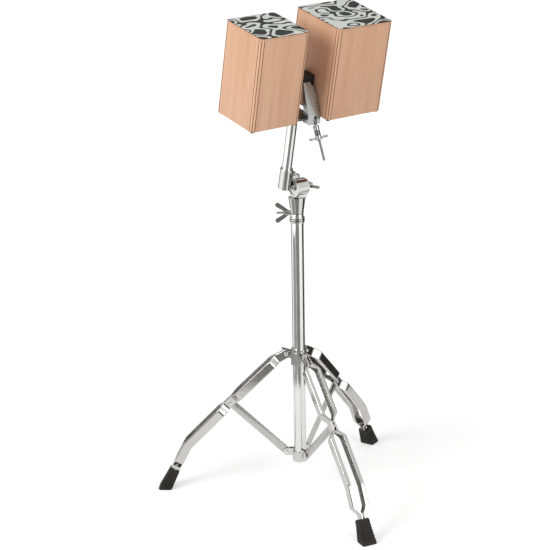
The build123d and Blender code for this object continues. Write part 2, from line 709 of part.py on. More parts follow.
with BuildPart() as tilter_base:
    with BuildSketch(Plane.XY.offset(TILTER_BOTTOM)):
        Circle(TILTER_TAPER_LOW)
    with BuildSketch(Plane.XY.offset(TILTER_BOTTOM + TILTER_SHOULDER)):
        Circle(TILTER_TAPER_HIGH)
    loft()
    with BuildSketch(Plane.YZ.offset(DISC_BACK + TOUCH)):
        with Locations((0, TILT_HEIGHT)):
            Circle(DISC_RADIUS - TILTER_BARREL_INSET)
    extrude(amount=BARREL_END - DISC_BACK - TOUCH)
    neck_low = TILTER_BOTTOM + TILTER_SHOULDER - 3
    with BuildSketch(Plane.YZ.offset(DISC_BACK + TOUCH)):
        with Locations((0, (TILT_HEIGHT + neck_low) / 2)):
            Rectangle(TILTER_NECK_WIDTH, TILT_HEIGHT - neck_low)
    extrude(amount=TILTER_NECK_END - DISC_BACK - TOUCH)
    with BuildSketch(Plane.YZ.offset(DISC_BACK)):
        with Locations((0, TILT_HEIGHT)):
            Circle(AXLE_RADIUS + RUNNING_FIT)
    extrude(amount=BARREL_END - DISC_BACK + 1, mode=Mode.SUBTRACT)
    with BuildSketch(Plane.YZ.offset(SLOT_START)):
        with Locations((0, TILT_HEIGHT + DISC_RADIUS)):
            Rectangle(SLOT_WIDTH, 2 * SLOT_DEPTH)
    extrude(amount=BARREL_END, mode=Mode.SUBTRACT)
    with BuildSketch(Plane.XY.offset(TILTER_BOTTOM)):
        Circle(HEIGHT_TUBE_RADIUS + RUNNING_FIT)
    extrude(amount=TILTER_SOCKET_DEPTH, mode=Mode.SUBTRACT)
    with BuildSketch(cross_pin):
        with Locations((0, CROSS_PIN_HEIGHT)):
            Circle(CROSS_PIN_RADIUS + RUNNING_FIT)
    extrude(amount=TILTER_TAPER_HIGH + 1, mode=Mode.SUBTRACT)
keep(tilter_base, "tilter_base")

with BuildPart() as tilter_pin:
    pin_head = TILTER_TAPER_LOW + CROSS_PIN_RISE
    with BuildSketch(Plane.XZ.offset(-pin_head)):
        with Locations((0, CROSS_PIN_HEIGHT)):
            Circle(CROSS_PIN_RADIUS)
    extrude(amount=pin_head - HEIGHT_TUBE_RADIUS + HEIGHT_TUBE_WALL + 1)
keep(tilter_pin, "tilter_cross_pin")

with BuildPart(HEAD) as tilter_head:
    head_disc = Plane(origin=(DISC_FACE, 0, TILT_HEIGHT), x_dir=HEAD_SIDE.x_dir, z_dir=(1, 0, 0))
    with BuildSketch(head_disc):
        Circle(DISC_RADIUS)
    extrude(amount=DISC_BACK - DISC_FACE)
    with BuildSketch(head_disc):
        with Locations((ROD_BACK / 2, (SOCKET_TOP + SOCKET_BOTTOM) / 2)):
            Rectangle(ROD_BACK, SOCKET_TOP - SOCKET_BOTTOM - 2 * SOCKET_WEB)
    extrude(amount=DISC_BACK - DISC_FACE)
    with BuildSketch(HEAD.offset(SOCKET_BOTTOM)):
        with Locations((ROD_X, ROD_BACK)):
            Circle(SOCKET_RADIUS)
    extrude(amount=SOCKET_TOP - SOCKET_BOTTOM)
    with BuildSketch(HEAD_SIDE.offset(CLAMP_LUG_LEFT)):
        with Locations((CLAMP_SCREW_BACK, CLAMP_SCREW_UP)):
            Circle(CLAMP_LUG_RADIUS)
    extrude(amount=CLAMP_LUG_RIGHT - CLAMP_LUG_LEFT)
    with BuildSketch(head_disc):
        Circle(DISC_RADIUS - DISH_RIM)
        Circle(DISH_HUB, mode=Mode.SUBTRACT)
    extrude(amount=DISH_DEPTH, mode=Mode.SUBTRACT)
    with BuildSketch(HEAD_SIDE.offset(DISC_FACE - 1)):
        Circle(AXLE_RADIUS + RUNNING_FIT)
    extrude(amount=DISC_RADIUS, mode=Mode.SUBTRACT)
    with BuildSketch(HEAD_SIDE.offset(CLAMP_LUG_LEFT - SOCKET_RADIUS)):
        with Locations((CLAMP_SCREW_BACK, CLAMP_SCREW_UP)):
            Circle(CLAMP_SCREW_RADIUS + RUNNING_FIT)
    extrude(amount=CLAMP_LUG_RIGHT - CLAMP_LUG_LEFT + 2 * SOCKET_RADIUS, mode=Mode.SUBTRACT)
    with BuildSketch(HEAD.offset(ROD_FOOT - 1)):
        with Locations((ROD_X, ROD_BACK)):
            Circle(ROD_RADIUS + RUNNING_FIT)
    extrude(amount=SOCKET_TOP, mode=Mode.SUBTRACT)
keep(tilter_head, "tilter_head")

with BuildPart() as tilter_bolt:
    with BuildSketch(HEAD_SIDE.offset(DISC_FACE - AXLE_HEAD)):
        Circle(AXLE_HEAD_RADIUS)
    extrude(amount=AXLE_HEAD - TOUCH)
    with BuildSketch(HEAD_SIDE.offset(DISC_FACE - TOUCH)):
        Circle(AXLE_RADIUS)
    extrude(amount=BARREL_END + AXLE_PAST - DISC_FACE + TOUCH)
    fillet(tilter_bolt.edges().filter_by(GeomType.CIRCLE).group_by(Axis.X)[0], AXLE_HEAD / 2)
keep(tilter_bolt, "tilter_bolt")

with BuildPart() as tilter_washer:
    with BuildSketch(Plane.YZ.offset(BARREL_END + SEAT)):
        with Locations((0, TILT_HEIGHT)):
            Circle(WASHER_RADIUS)
            Circle(AXLE_RADIUS + RUNNING_FIT, mode=Mode.SUBTRACT)
    extrude(amount=WASHER_THICK)
keep(tilter_washer, "tilter_washer")

with BuildPart() as tilter_wing_nut:
    tilter_nut_start = Vector(BARREL_END + 2 * SEAT + WASHER_THICK + TOUCH, 0, TILT_HEIGHT)
    with BuildSketch(axis_plane(tilter_nut_start, (1, 0, 0))):
        Circle(TILTER_NUT_RADIUS)
    extrude(amount=TILTER_NUT_LENGTH)
    tilter_radials = [turned(Vector(0, side, 0), (1, 0, 0), TILTER_NUT_TURN) for side in (1, -1)]
    add(wing_pair(tilter_nut_start, Vector(1, 0, 0), tilter_radials, TILTER_NUT_WING_TIP))
    with BuildSketch(axis_plane(tilter_nut_start, (1, 0, 0))):
        Circle(AXLE_RADIUS + RUNNING_FIT)
    extrude(amount=2 * AXLE_PAST, mode=Mode.SUBTRACT)
keep(tilter_wing_nut, "tilter_wing_nut")

with BuildPart() as socket_screw:
    with BuildSketch(HEAD_SIDE.offset(CLAMP_LUG_LEFT)):
        with Locations((CLAMP_SCREW_BACK, CLAMP_SCREW_UP)):
            Circle(CLAMP_SCREW_RADIUS)
    extrude(amount=CLAMP_LUG_RIGHT - CLAMP_LUG_LEFT)
    with BuildSketch(HEAD_SIDE.offset(CLAMP_LUG_RIGHT)):
        with Locations((CLAMP_SCREW_BACK, CLAMP_SCREW_UP)):
            RegularPolygon(radius=CLAMP_SCREW_HEAD_RADIUS, side_count=6)
    extrude(amount=CLAMP_SCREW_HEAD)
keep(socket_screw, "rod_socket_screw")

# ================= rod and bracket =================

ROD_TOP = PLATE_TOP - PLATE_THICK

with BuildPart() as support_rod:
    with BuildSketch(HEAD.offset(ROD_FOOT)):
        with Locations((ROD_X, ROD_BACK)):
            Circle(ROD_RADIUS)
            Circle(ROD_RADIUS - ROD_WALL, mode=Mode.SUBTRACT)
    extrude(amount=ROD_TOP - ROD_FOOT)
    with BuildSketch(HEAD.offset(ROD_TOP - ROD_END_DEPTH)):
        with Locations((ROD_X, ROD_BACK)):
            Circle(ROD_RADIUS)
            Circle(ROD_SCREW_RADIUS + RUNNING_FIT, mode=Mode.SUBTRACT)
    extrude(amount=ROD_END_DEPTH)
keep(support_rod, "support_rod")

BLOCK_REAR = DRUM_BACK + BLOCK_DEPTH / 2
PLATE_BACK = BLOCK_REAR + TOUCH + BACK_PLATE_THICK
bolt_down = HEAD_SIDE.x_dir * -sin(radians(BOLT_LEAN)) - HEAD.z_dir * cos(radians(BOLT_LEAN))
bolt_start = HEAD_SIDE.from_local_coords(Vector(BOLT_START[0], BOLT_START[1], BOLT_X))
BLOCK_BOLTS = [
    (DRUM_BACK + step * BLOCK_BOLT_SPREAD / 2, (BLOCK_LOW + BLOCK_HIGH) / 2) for step in (-1, 1)
]

with BuildPart() as bracket_plate:
    with BuildSketch(HEAD_SIDE.offset(PLATE_LEFT)):
        with Locations(((PLATE_FRONT + PLATE_BACK) / 2, PLATE_TOP - PLATE_THICK / 2)):
            Rectangle(PLATE_BACK - PLATE_FRONT, PLATE_THICK)
        with BuildLine():
            Polyline(
                (PLATE_BACK - BACK_PLATE_THICK, PLATE_TOP - 1),
                (PLATE_BACK, PLATE_TOP - 1),
                (PLATE_BACK, BLOCK_HIGH + TOUCH + PLATE_LIP_THICK),
                (BLOCK_REAR - PLATE_LIP, BLOCK_HIGH + TOUCH + PLATE_LIP_THICK),
                (BLOCK_REAR - PLATE_LIP, BLOCK_HIGH + TOUCH),
                (PLATE_BACK - BACK_PLATE_THICK, BLOCK_HIGH + TOUCH),
                close=True,
            )
        make_face()
        with Locations((PLATE_BACK - PLATE_LEDGE / 2, BLOCK_LOW - TOUCH - PLATE_LIP_THICK / 2)):
            Rectangle(PLATE_LEDGE, PLATE_LIP_THICK)
    extrude(amount=PLATE_RIGHT - PLATE_LEFT)
    with BuildSketch(HEAD_SIDE.offset(BOLT_X - BOLT_LUG_HALF)):
        with Locations(((BOLT_LUG_FRONT + BOLT_LUG_BACK) / 2, (PLATE_TOP - 2 + BOLT_LUG_TOP) / 2)):
            Rectangle(BOLT_LUG_BACK - BOLT_LUG_FRONT, BOLT_LUG_TOP - PLATE_TOP + 2)
        with Locations(JAW_PIN):
            Circle(KNUCKLE_RADIUS)
    extrude(amount=2 * BOLT_LUG_HALF)
    with BuildSketch(HEAD_SIDE.offset(PLATE_LEFT)):
        with Locations(JAW_PIN):
            Circle(PIN_RADIUS + RUNNING_FIT)
    extrude(amount=PLATE_RIGHT - PLATE_LEFT + 10, mode=Mode.SUBTRACT)
    with BuildSketch(HEAD.offset(PLATE_TOP - PLATE_THICK)):
        with Locations((ROD_X, ROD_BACK)):
            Circle(ROD_SCREW_RADIUS + RUNNING_FIT)
    extrude(amount=PLATE_THICK + 1, mode=Mode.SUBTRACT)
    with BuildSketch(axis_plane(bolt_start, bolt_down)):
        Circle(BOLT_RADIUS + RUNNING_FIT)
    extrude(amount=BOLT_LUG_BACK, both=True, mode=Mode.SUBTRACT)
keep(bracket_plate, "bracket_plate")

with BuildPart() as rod_screw:
    with BuildSketch(HEAD.offset(PLATE_TOP)):
        with Locations((ROD_X, ROD_BACK)):
            Circle(ROD_SCREW_HEAD_RADIUS)
    extrude(amount=ROD_SCREW_HEAD)
    with BuildSketch(HEAD.offset(PLATE_TOP - PLATE_THICK - ROD_SCREW_DEPTH)):
        with Locations((ROD_X, ROD_BACK)):
            Circle(ROD_SCREW_RADIUS)
    extrude(amount=PLATE_THICK + ROD_SCREW_DEPTH)
    screw_rims = rod_screw.edges().filter_by(GeomType.CIRCLE).group_by(SortBy.RADIUS)[-1]
    fillet(screw_rims, ROD_SCREW_ROUND)
keep(rod_screw, "rod_top_screw")

with BuildPart() as jaw_pin:
    with BuildSketch(HEAD_SIDE.offset(JAW_LEFT - JAW_PIN_HEAD)):
        with Locations(JAW_PIN):
            Circle(PIN_RADIUS + JAW_PIN_HEAD)
    extrude(amount=JAW_PIN_HEAD - SEAT)
    with BuildSketch(HEAD_SIDE.offset(JAW_LEFT - SEAT)):
        with Locations(JAW_PIN):
            Circle(PIN_RADIUS)
    extrude(amount=JAW_RIGHT - JAW_LEFT + JAW_PIN_PAST + SEAT)
keep(jaw_pin, "jaw_pin")

with BuildPart() as clamp_jaw:
    with BuildSketch(HEAD_SIDE.offset(JAW_LEFT)):
        with BuildLine():
            Polyline(
                (JAW_TOP[0] + 0.5, JAW_TOP[1]),
                (JAW_BEND[0] + JAW_THICK, JAW_BEND[1]),
                (JAW_LIP[0] + JAW_THICK, JAW_LIP[1]),
                (JAW_LIP[0], JAW_LIP[1]),
                JAW_BEND,
                (JAW_TOP[0] - JAW_THICK, JAW_TOP[1] + 1),
                close=True,
            )
        make_face()
    extrude(amount=JAW_RIGHT - JAW_LEFT)
    for flange_start in (JAW_LEFT, JAW_RIGHT - JAW_WALL):
        with BuildSketch(HEAD_SIDE.offset(flange_start)):
            with BuildLine():
                Polyline(
                    (JAW_TOP[0] - 1, JAW_TOP[1] - 4),
                    (JAW_BEND[0] + 1, JAW_BEND[1]),
                    (JAW_LIP[0] + 2, JAW_LIP[1] + 1),
                    (JAW_PIN[0] + JAW_FLANGE_LOW[0], JAW_PIN[1] + JAW_FLANGE_LOW[1]),
                    (JAW_PIN[0] + JAW_FLANGE_HIGH[0], JAW_PIN[1] + JAW_FLANGE_HIGH[1]),
                    close=True,
                )
            make_face()
            with Locations(JAW_PIN):
                Circle(PIN_RADIUS + RUNNING_FIT, mode=Mode.SUBTRACT)
        extrude(amount=JAW_WALL)
    with BuildSketch(HEAD.offset(JAW_LIP[1] - 1)):
        with Locations((BOLT_X, JAW_BEND[0])):
            Rectangle(2 * (BOLT_RADIUS + JAW_SLOT_ROOM), JAW_RIGHT - JAW_LEFT)
    extrude(amount=JAW_BEND[1] - JAW_LIP[1] + 1 - JAW_SLOT_PAST, mode=Mode.SUBTRACT)
    with BuildSketch(Plane(origin=HEAD.origin, x_dir=(1, 0, 0), z_dir=-HEAD.y_dir)):
        with BuildLine():
            Polyline(
                (JAW_RIGHT + 1, JAW_TOP[1] + 2),
                (JAW_RIGHT - JAW_CORNER - 1, JAW_TOP[1] + 2),
                (JAW_RIGHT + 1, JAW_TOP[1] - 1.4 * JAW_CORNER),
                close=True,
            )
        make_face()
    extrude(amount=60, both=True, mode=Mode.SUBTRACT)
keep(clamp_jaw, "clamp_jaw")

with BuildPart() as jaw_bolt:
    with BuildSketch(axis_plane(bolt_start, bolt_down)):
        Circle(BOLT_RADIUS)
    extrude(amount=BOLT_LENGTH)
keep(jaw_bolt, "jaw_bolt")

with BuildPart() as jaw_nut:
    nut_face = bolt_start + bolt_down * NUT_START
    with BuildSketch(axis_plane(nut_face, bolt_down)):
        Circle(NUT_RADIUS)
    extrude(amount=NUT_LENGTH)
    fillet(jaw_nut.edges(), NUT_ROUND)
    bolt_square = HEAD_SIDE.x_dir * cos(radians(BOLT_LEAN)) - HEAD.z_dir * sin(radians(BOLT_LEAN))
    handle_way = turned(bolt_square, bolt_down, -HANDLE_TURN)
    handle_middle = nut_face + bolt_down * (NUT_LENGTH - HANDLE_FROM_END)
    with BuildSketch(axis_plane(handle_middle, handle_way)):
        Circle(HANDLE_RADIUS)
    extrude(amount=HANDLE_HALF, both=True)
    with BuildSketch(axis_plane(nut_face, bolt_down)):
        Circle(BOLT_RADIUS + RUNNING_FIT)
    extrude(amount=NUT_LENGTH + 1, mode=Mode.SUBTRACT)
keep(jaw_nut, "jaw_nut")

with BuildPart() as centre_block:
    with BuildSketch(HEAD.offset(BLOCK_LOW)):
        with Locations(((GAP_LEFT + GAP_RIGHT) / 2, DRUM_BACK)):
            RectangleRounded(GAP_RIGHT - GAP_LEFT, BLOCK_DEPTH, BLOCK_ROUND)
    extrude(amount=BLOCK_HIGH - BLOCK_LOW)
    with BuildSketch(HEAD_SIDE.offset(GAP_LEFT)):
        with Locations(*BLOCK_BOLTS):
            Circle(BLOCK_BOLT_RADIUS + RUNNING_FIT)
    extrude(amount=GAP_RIGHT - GAP_LEFT, mode=Mode.SUBTRACT)
keep(centre_block, "centre_block")

with BuildPart() as block_bolts:
    bolt_from = GAP_LEFT - PANEL_THICK - BLOCK_BOLT_HEAD
    bolt_to = GAP_RIGHT + PANEL_THICK + BLOCK_BOLT_HEAD
    with BuildSketch(HEAD_SIDE.offset(bolt_from)):
        with Locations(*BLOCK_BOLTS):
            Circle(BLOCK_BOLT_RADIUS)
    extrude(amount=bolt_to - bolt_from)
    for head_start in (bolt_from, bolt_to - BLOCK_BOLT_HEAD):
        with BuildSketch(HEAD_SIDE.offset(head_start)):
            with Locations(*BLOCK_BOLTS):
                Circle(BLOCK_BOLT_HEAD_RADIUS)
        extrude(amount=BLOCK_BOLT_HEAD)
keep(block_bolts, "block_bolts")

# ================= drums =================

DRUMS = {
    "small_drum": (GAP_LEFT - SMALL_DRUM_WIDTH / 2, SMALL_DRUM_WIDTH, 1),
    "large_drum": (GAP_RIGHT + LARGE_DRUM_WIDTH / 2, LARGE_DRUM_WIDTH, -1),
}

head_line = Axis(origin=(0, 0, 0), direction=HEAD.z_dir)

for drum, (middle, width, block_side) in DRUMS.items():
    half = width / 2
    corner = half - POST_SIZE / 2
    wall = half - PANEL_THICK / 2
    span = width - 2 * POST_SIZE
    panels = {
        "front_panel": (middle, DRUM_BACK - wall, span, PANEL_THICK),
        "back_panel": (middle, DRUM_BACK + wall, span, PANEL_THICK),
        "left_panel": (middle - wall, DRUM_BACK, PANEL_THICK, span),
        "right_panel": (middle + wall, DRUM_BACK, PANEL_THICK, span),
    }
    block_panel = "right_panel" if block_side > 0 else "left_panel"
    for panel_name, (panel_x, panel_y, size_x, size_y) in panels.items():
        with BuildPart() as panel:
            with BuildSketch(HEAD.offset(DRUM_BOTTOM)):
                with Locations((panel_x, panel_y)):
                    Rectangle(size_x, size_y)
            extrude(amount=DRUM_HEIGHT - HEAD_THICK)
            if panel_name == block_panel:
                with BuildSketch(HEAD_SIDE.offset(panel_x - PANEL_THICK)):
                    with Locations(*BLOCK_BOLTS):
                        Circle(BLOCK_BOLT_RADIUS + RUNNING_FIT)
                extrude(amount=2 * PANEL_THICK, mode=Mode.SUBTRACT)
        keep(panel, f"{drum}_{panel_name}")

    with BuildPart() as posts:
        for turn in range(4):
            post_middle = Vector(corner, corner).rotate(Axis.Z, 90 * turn)
            with BuildSketch(HEAD.offset(DRUM_BOTTOM)):
                with Locations((middle + post_middle.X, DRUM_BACK + post_middle.Y)):
                    Rectangle(POST_SIZE, POST_SIZE)
            extrude(amount=DRUM_HEIGHT - HEAD_THICK)
        outer_lines = posts.edges().filter_by(head_line)
        far_corners = outer_lines.sort_by(
            lambda edge: -abs(edge.center().X - middle)
            - abs(HEAD.to_local_coords(edge.center()).Y - DRUM_BACK)
        )
        fillet(far_corners[:4], CORNER_RADIUS)
        arc_middle = half - CORNER_RADIUS
        with BuildSketch(HEAD.offset(DRUM_BOTTOM)):
            for turn in range(4):
                for swing in GROOVE_ANGLES:
                    round_out = Vector(CORNER_RADIUS, 0).rotate(Axis.Z, swing)
                    spot = (Vector(arc_middle, arc_middle) + round_out).rotate(Axis.Z, 90 * turn)
                    with Locations((middle + spot.X, DRUM_BACK + spot.Y)):
                        Circle(GROOVE_RADIUS)
        extrude(amount=DRUM_HEIGHT - HEAD_THICK, mode=Mode.SUBTRACT)
    keep(posts, f"{drum}_corner_posts")

    with BuildPart() as head_board:
        with BuildSketch(HEAD.offset(DRUM_BOTTOM + DRUM_HEIGHT - HEAD_THICK)):
            with Locations((middle, DRUM_BACK)):
                RectangleRounded(width, width, CORNER_RADIUS)
        extrude(amount=HEAD_THICK)
    keep(head_board, f"{drum}_head")

    with BuildPart() as battens:
        inside = width - 2 * PANEL_THICK
        with BuildSketch(HEAD.offset(DRUM_BOTTOM + DRUM_HEIGHT - HEAD_THICK - BATTEN)):
            for turn in range(4):
                place = Vector(0, inside / 2 - BATTEN / 2).rotate(Axis.Z, 90 * turn)
                size_x = span if turn % 2 == 0 else BATTEN
                size_y = BATTEN if turn % 2 == 0 else inside - 2 * BATTEN - 2 * TOUCH
                with Locations((middle + place.X, DRUM_BACK + place.Y)):
                    Rectangle(size_x, size_y)
        extrude(amount=BATTEN)
    keep(battens, f"{drum}_battens")

    with BuildPart() as drum_feet:
        with BuildSketch(HEAD.offset(DRUM_BOTTOM)):
            with Locations((middle, DRUM_BACK)):
                with GridLocations(width - POST_SIZE, width - POST_SIZE, 2, 2):
                    Circle(DRUM_FOOT_RADIUS)
        extrude(amount=-DRUM_FOOT_HEIGHT)
        foot_rims = drum_feet.edges().filter_by(GeomType.CIRCLE)
        fillet(foot_rims.group_by(head_line)[0], DRUM_FOOT_ROUND)
    keep(drum_feet, f"{drum}_feet")

# ================= place and write =================

whole = pieces[0].part.bounding_box()
for piece in pieces[1:]:
    whole = whole.add(piece.part.bounding_box())
COLUMN_SHIFT = Vector(-whole.center().X, -whole.center().Y, -whole.min.Z)
for piece in pieces:
    piece.part.locate(Location(COLUMN_SHIFT))
    export_step(piece.part, f"parts/{piece.part.label}.step")
print(len(pieces), "pieces, column moved by", COLUMN_SHIFT, "whole", whole.size)
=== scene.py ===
import json
import bmesh
import bpy
import numpy as np
from mathutils import Matrix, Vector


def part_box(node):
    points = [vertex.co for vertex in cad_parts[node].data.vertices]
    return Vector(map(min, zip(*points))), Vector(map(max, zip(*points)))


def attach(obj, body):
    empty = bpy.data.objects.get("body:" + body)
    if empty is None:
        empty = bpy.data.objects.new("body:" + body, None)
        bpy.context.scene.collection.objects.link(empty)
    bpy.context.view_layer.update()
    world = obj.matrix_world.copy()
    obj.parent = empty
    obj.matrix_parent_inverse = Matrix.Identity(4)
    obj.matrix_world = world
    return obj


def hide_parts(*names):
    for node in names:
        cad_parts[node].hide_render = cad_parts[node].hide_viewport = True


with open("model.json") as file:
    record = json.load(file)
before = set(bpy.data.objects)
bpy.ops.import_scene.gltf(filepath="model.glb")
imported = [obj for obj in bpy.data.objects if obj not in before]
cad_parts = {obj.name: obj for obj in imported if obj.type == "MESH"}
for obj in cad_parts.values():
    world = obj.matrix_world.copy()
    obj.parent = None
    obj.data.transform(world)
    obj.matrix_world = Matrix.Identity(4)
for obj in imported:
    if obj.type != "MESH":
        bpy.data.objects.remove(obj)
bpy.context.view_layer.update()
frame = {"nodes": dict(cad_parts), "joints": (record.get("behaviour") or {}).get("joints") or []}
joints = {joint["name"]: joint for joint in frame["joints"]}

# ================= camera =================
# A long lens four metres from the column, to the front left of the drums and a little
# above them, so that both drum heads and the legs' spread are seen at once.

tube_low, tube_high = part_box("base_tube")
column = np.array([(tube_low.x + tube_high.x) / 2, (tube_low.y + tube_high.y) / 2, 0.0])

CAMERA_FROM_COLUMN = np.array([-2.3595, -3.0356, 1.8039])
CAMERA_TURN = np.radians(37.09)
CAMERA_DROP = np.radians(18.37)
CAMERA_ROLL = np.radians(-0.97)
LENS = 118.1

ahead = np.array([
    np.cos(CAMERA_DROP) * np.sin(CAMERA_TURN),
    np.cos(CAMERA_DROP) * np.cos(CAMERA_TURN),
    -np.sin(CAMERA_DROP),
])
level_right = np.array([np.cos(CAMERA_TURN), -np.sin(CAMERA_TURN), 0.0])
level_up = np.cross(level_right, ahead)
right = np.cos(CAMERA_ROLL) * level_right + np.sin(CAMERA_ROLL) * level_up
up = np.cos(CAMERA_ROLL) * level_up - np.sin(CAMERA_ROLL) * level_right

camera = bpy.data.objects.new("camera", bpy.data.cameras.new("camera"))
camera.data.lens = LENS
camera.data.sensor_width = 36.0
camera_place = np.eye(4)
camera_place[:3, :3] = np.column_stack([right, up, -ahead])
camera_place[:3, 3] = column + CAMERA_FROM_COLUMN
camera.matrix_world = Matrix(camera_place.tolist())
bpy.context.scene.collection.objects.link(camera)
bpy.context.scene.camera = camera
bpy.context.scene.view_settings.view_transform = "Standard"

# ================= studio =================
# A white floor and white surroundings, one broad soft lamp high on the left, a weaker one
# on the right, and grey flags out of view that draw the dark lines in the chrome.

FLOOR_HALF = 30.0
KEY_SIZE = 2.0
KEY_FROM = np.array([-3.6, -0.2, 2.6])
KEY_POWER = 92.0
FILL_SIZE = 2.0
FILL_FROM = np.array([0.2, -3.8, 2.0])
FILL_POWER = 46.0
WORLD_LEVEL = 0.42
FLAG_AWAY = 0.66
# Each flag: its turn from the camera's side to the right, its half spread, low, high, grey.
FLAGS = (
    (0.0, 30.0, 0.0, 1.3, 0.30),
    (112.0, 22.0, 0.0, 1.3, 0.04),
    (160.0, 22.0, 0.0, 1.3, 0.26),
    (-148.0, 26.0, 0.0, 1.3, 0.28),
    (-62.0, 28.0, 0.0, 0.42, 0.42),
)


def nodes_of(material):
    """The material's node tree, emptied but for its output: (tree, output)."""
    material.use_nodes = True
    tree = material.node_tree
    tree.nodes.clear()
    return tree, tree.nodes.new("ShaderNodeOutputMaterial")


def seen_ray(tree):
    """One where the ray comes from the camera, a gloss or a see-through surface, else nought."""
    path = tree.nodes.new("ShaderNodeLightPath")
    either = tree.nodes.new("ShaderNodeMath")
    either.operation = "MAXIMUM"
    tree.links.new(path.outputs["Is Camera Ray"], either.inputs[0])
    tree.links.new(path.outputs["Is Glossy Ray"], either.inputs[1])
    third = tree.nodes.new("ShaderNodeMath")
    third.operation = "MAXIMUM"
    tree.links.new(either.outputs[0], third.inputs[0])
    tree.links.new(path.outputs["Is Transmission Ray"], third.inputs[1])
    return third.outputs[0]


world = bpy.data.worlds.new("white_room")
bpy.context.scene.world = world
world.use_nodes = True
room = world.node_tree
background = room.nodes["Background"]
background.inputs["Color"].default_value = (1.0, 1.0, 1.0, 1.0)
level = room.nodes.new("ShaderNodeMapRange")
level.inputs["To Min"].default_value = WORLD_LEVEL
level.inputs["To Max"].default_value = 1.0
room.links.new(seen_ray(room), level.inputs["Value"])
room.links.new(level.outputs[0], background.inputs["Strength"])


def flat_card(name, middle, across, upward):
    """A four cornered card: its middle plus and minus half its width and half its height."""
    corners = [middle + across * i + upward * j for i, j in ((-1, -1), (1, -1), (1, 1), (-1, 1))]
    mesh = bpy.data.meshes.new(name)
    mesh.from_pydata([tuple(corner) for corner in corners], [], [(0, 1, 2, 3)])
    card = bpy.data.objects.new(name, mesh)
    bpy.context.scene.collection.objects.link(card)
    return card


floor = flat_card(
    "floor", np.zeros(3), np.array([FLOOR_HALF, 0, 0]), np.array([0, FLOOR_HALF, 0])
)
floor_paint = bpy.data.materials.new("floor_paint")
tree, output = nodes_of(floor_paint)
matt = tree.nodes.new("ShaderNodeBsdfDiffuse")
matt.inputs["Color"].default_value = (0.86, 0.86, 0.86, 1.0)
lift = tree.nodes.new("ShaderNodeEmission")
lift.inputs["Color"].default_value = (1.0, 1.0, 1.0, 1.0)
lift_level = tree.nodes.new("ShaderNodeMath")
lift_level.operation = "MULTIPLY"
place = tree.nodes.new("ShaderNodeTexCoord")
distance = tree.nodes.new("ShaderNodeVectorMath")
distance.operation = "LENGTH"
tree.links.new(place.outputs["Object"], distance.inputs[0])
rise = tree.nodes.new("ShaderNodeMapRange")
rise.inputs["From Min"].default_value = 0.5
rise.inputs["From Max"].default_value = 3.5
rise.inputs["To Min"].default_value = 0.42
rise.inputs["To Max"].default_value = 0.80
tree.links.new(distance.outputs["Value"], rise.inputs["Value"])
tree.links.new(rise.outputs[0], lift_level.inputs[1])
tree.links.new(seen_ray(tree), lift_level.inputs[0])
tree.links.new(lift_level.outputs[0], lift.inputs["Strength"])
both = tree.nodes.new("ShaderNodeAddShader")
tree.links.new(matt.outputs[0], both.inputs[0])
tree.links.new(lift.outputs[0], both.inputs[1])
tree.links.new(both.outputs[0], output.inputs["Surface"])
floor.data.materials.append(floor_paint)

for number, (turn, spread, low, high, grey) in enumerate(FLAGS):
    flag_cloth = bpy.data.materials.new(f"flag_cloth_{number}")
    tree, output = nodes_of(flag_cloth)
    glow = tree.nodes.new("ShaderNodeEmission")
    glow.inputs["Color"].default_value = (grey, grey, 0.98 * grey, 1.0)
    tree.links.new(glow.outputs[0], output.inputs["Surface"])
    flag_cloth.cycles.emission_sampling = "NONE"
    facing = np.arctan2(CAMERA_FROM_COLUMN[1], CAMERA_FROM_COLUMN[0]) + np.radians(turn)
    away = np.array([np.cos(facing), np.sin(facing), 0.0])
    middle = column + away * FLAG_AWAY + np.array([0, 0, (low + high) / 2])
    across = np.cross([0, 0, 1.0], away) * FLAG_AWAY * np.tan(np.radians(spread))
    flag = flat_card(f"flag_{number}", middle, across, np.array([0, 0, (high - low) / 2]))
    flag.data.materials.append(flag_cloth)
    flag.visible_camera = False
    flag.visible_shadow = False
    flag.visible_diffuse = False


def soft_lamp(name, from_column, size, power):
    """A square lamp that faces the middle of the object from where it stands."""
    lamp = bpy.data.lights.new(name, "AREA")
    lamp.size = size
    lamp.energy = power
    holder = bpy.data.objects.new(name, lamp)
    back = from_column - np.array([0, 0, 0.7])
    back = back / np.linalg.norm(back)
    side = np.cross([0, 0, 1.0], back)
    side = side / np.linalg.norm(side)
    place = np.eye(4)
    place[:3, :3] = np.column_stack([side, np.cross(back, side), back])
    place[:3, 3] = column + from_column
    holder.matrix_world = Matrix(place.tolist())
    bpy.context.scene.collection.objects.link(holder)


soft_lamp("key", KEY_FROM, KEY_SIZE, KEY_POWER)
soft_lamp("fill", FILL_FROM, FILL_SIZE, FILL_POWER)

# ================= base tube =================
# The stand's outer tube: drawn steel tube, polished and chrome plated, cut square with its
# ends broken, held at its foot by the brace collar and closed there by a black plug.

TUBE_RADIUS = 0.0143
TUBE_WALL = 0.0012
EDGE_SUPPORT = 0.0004


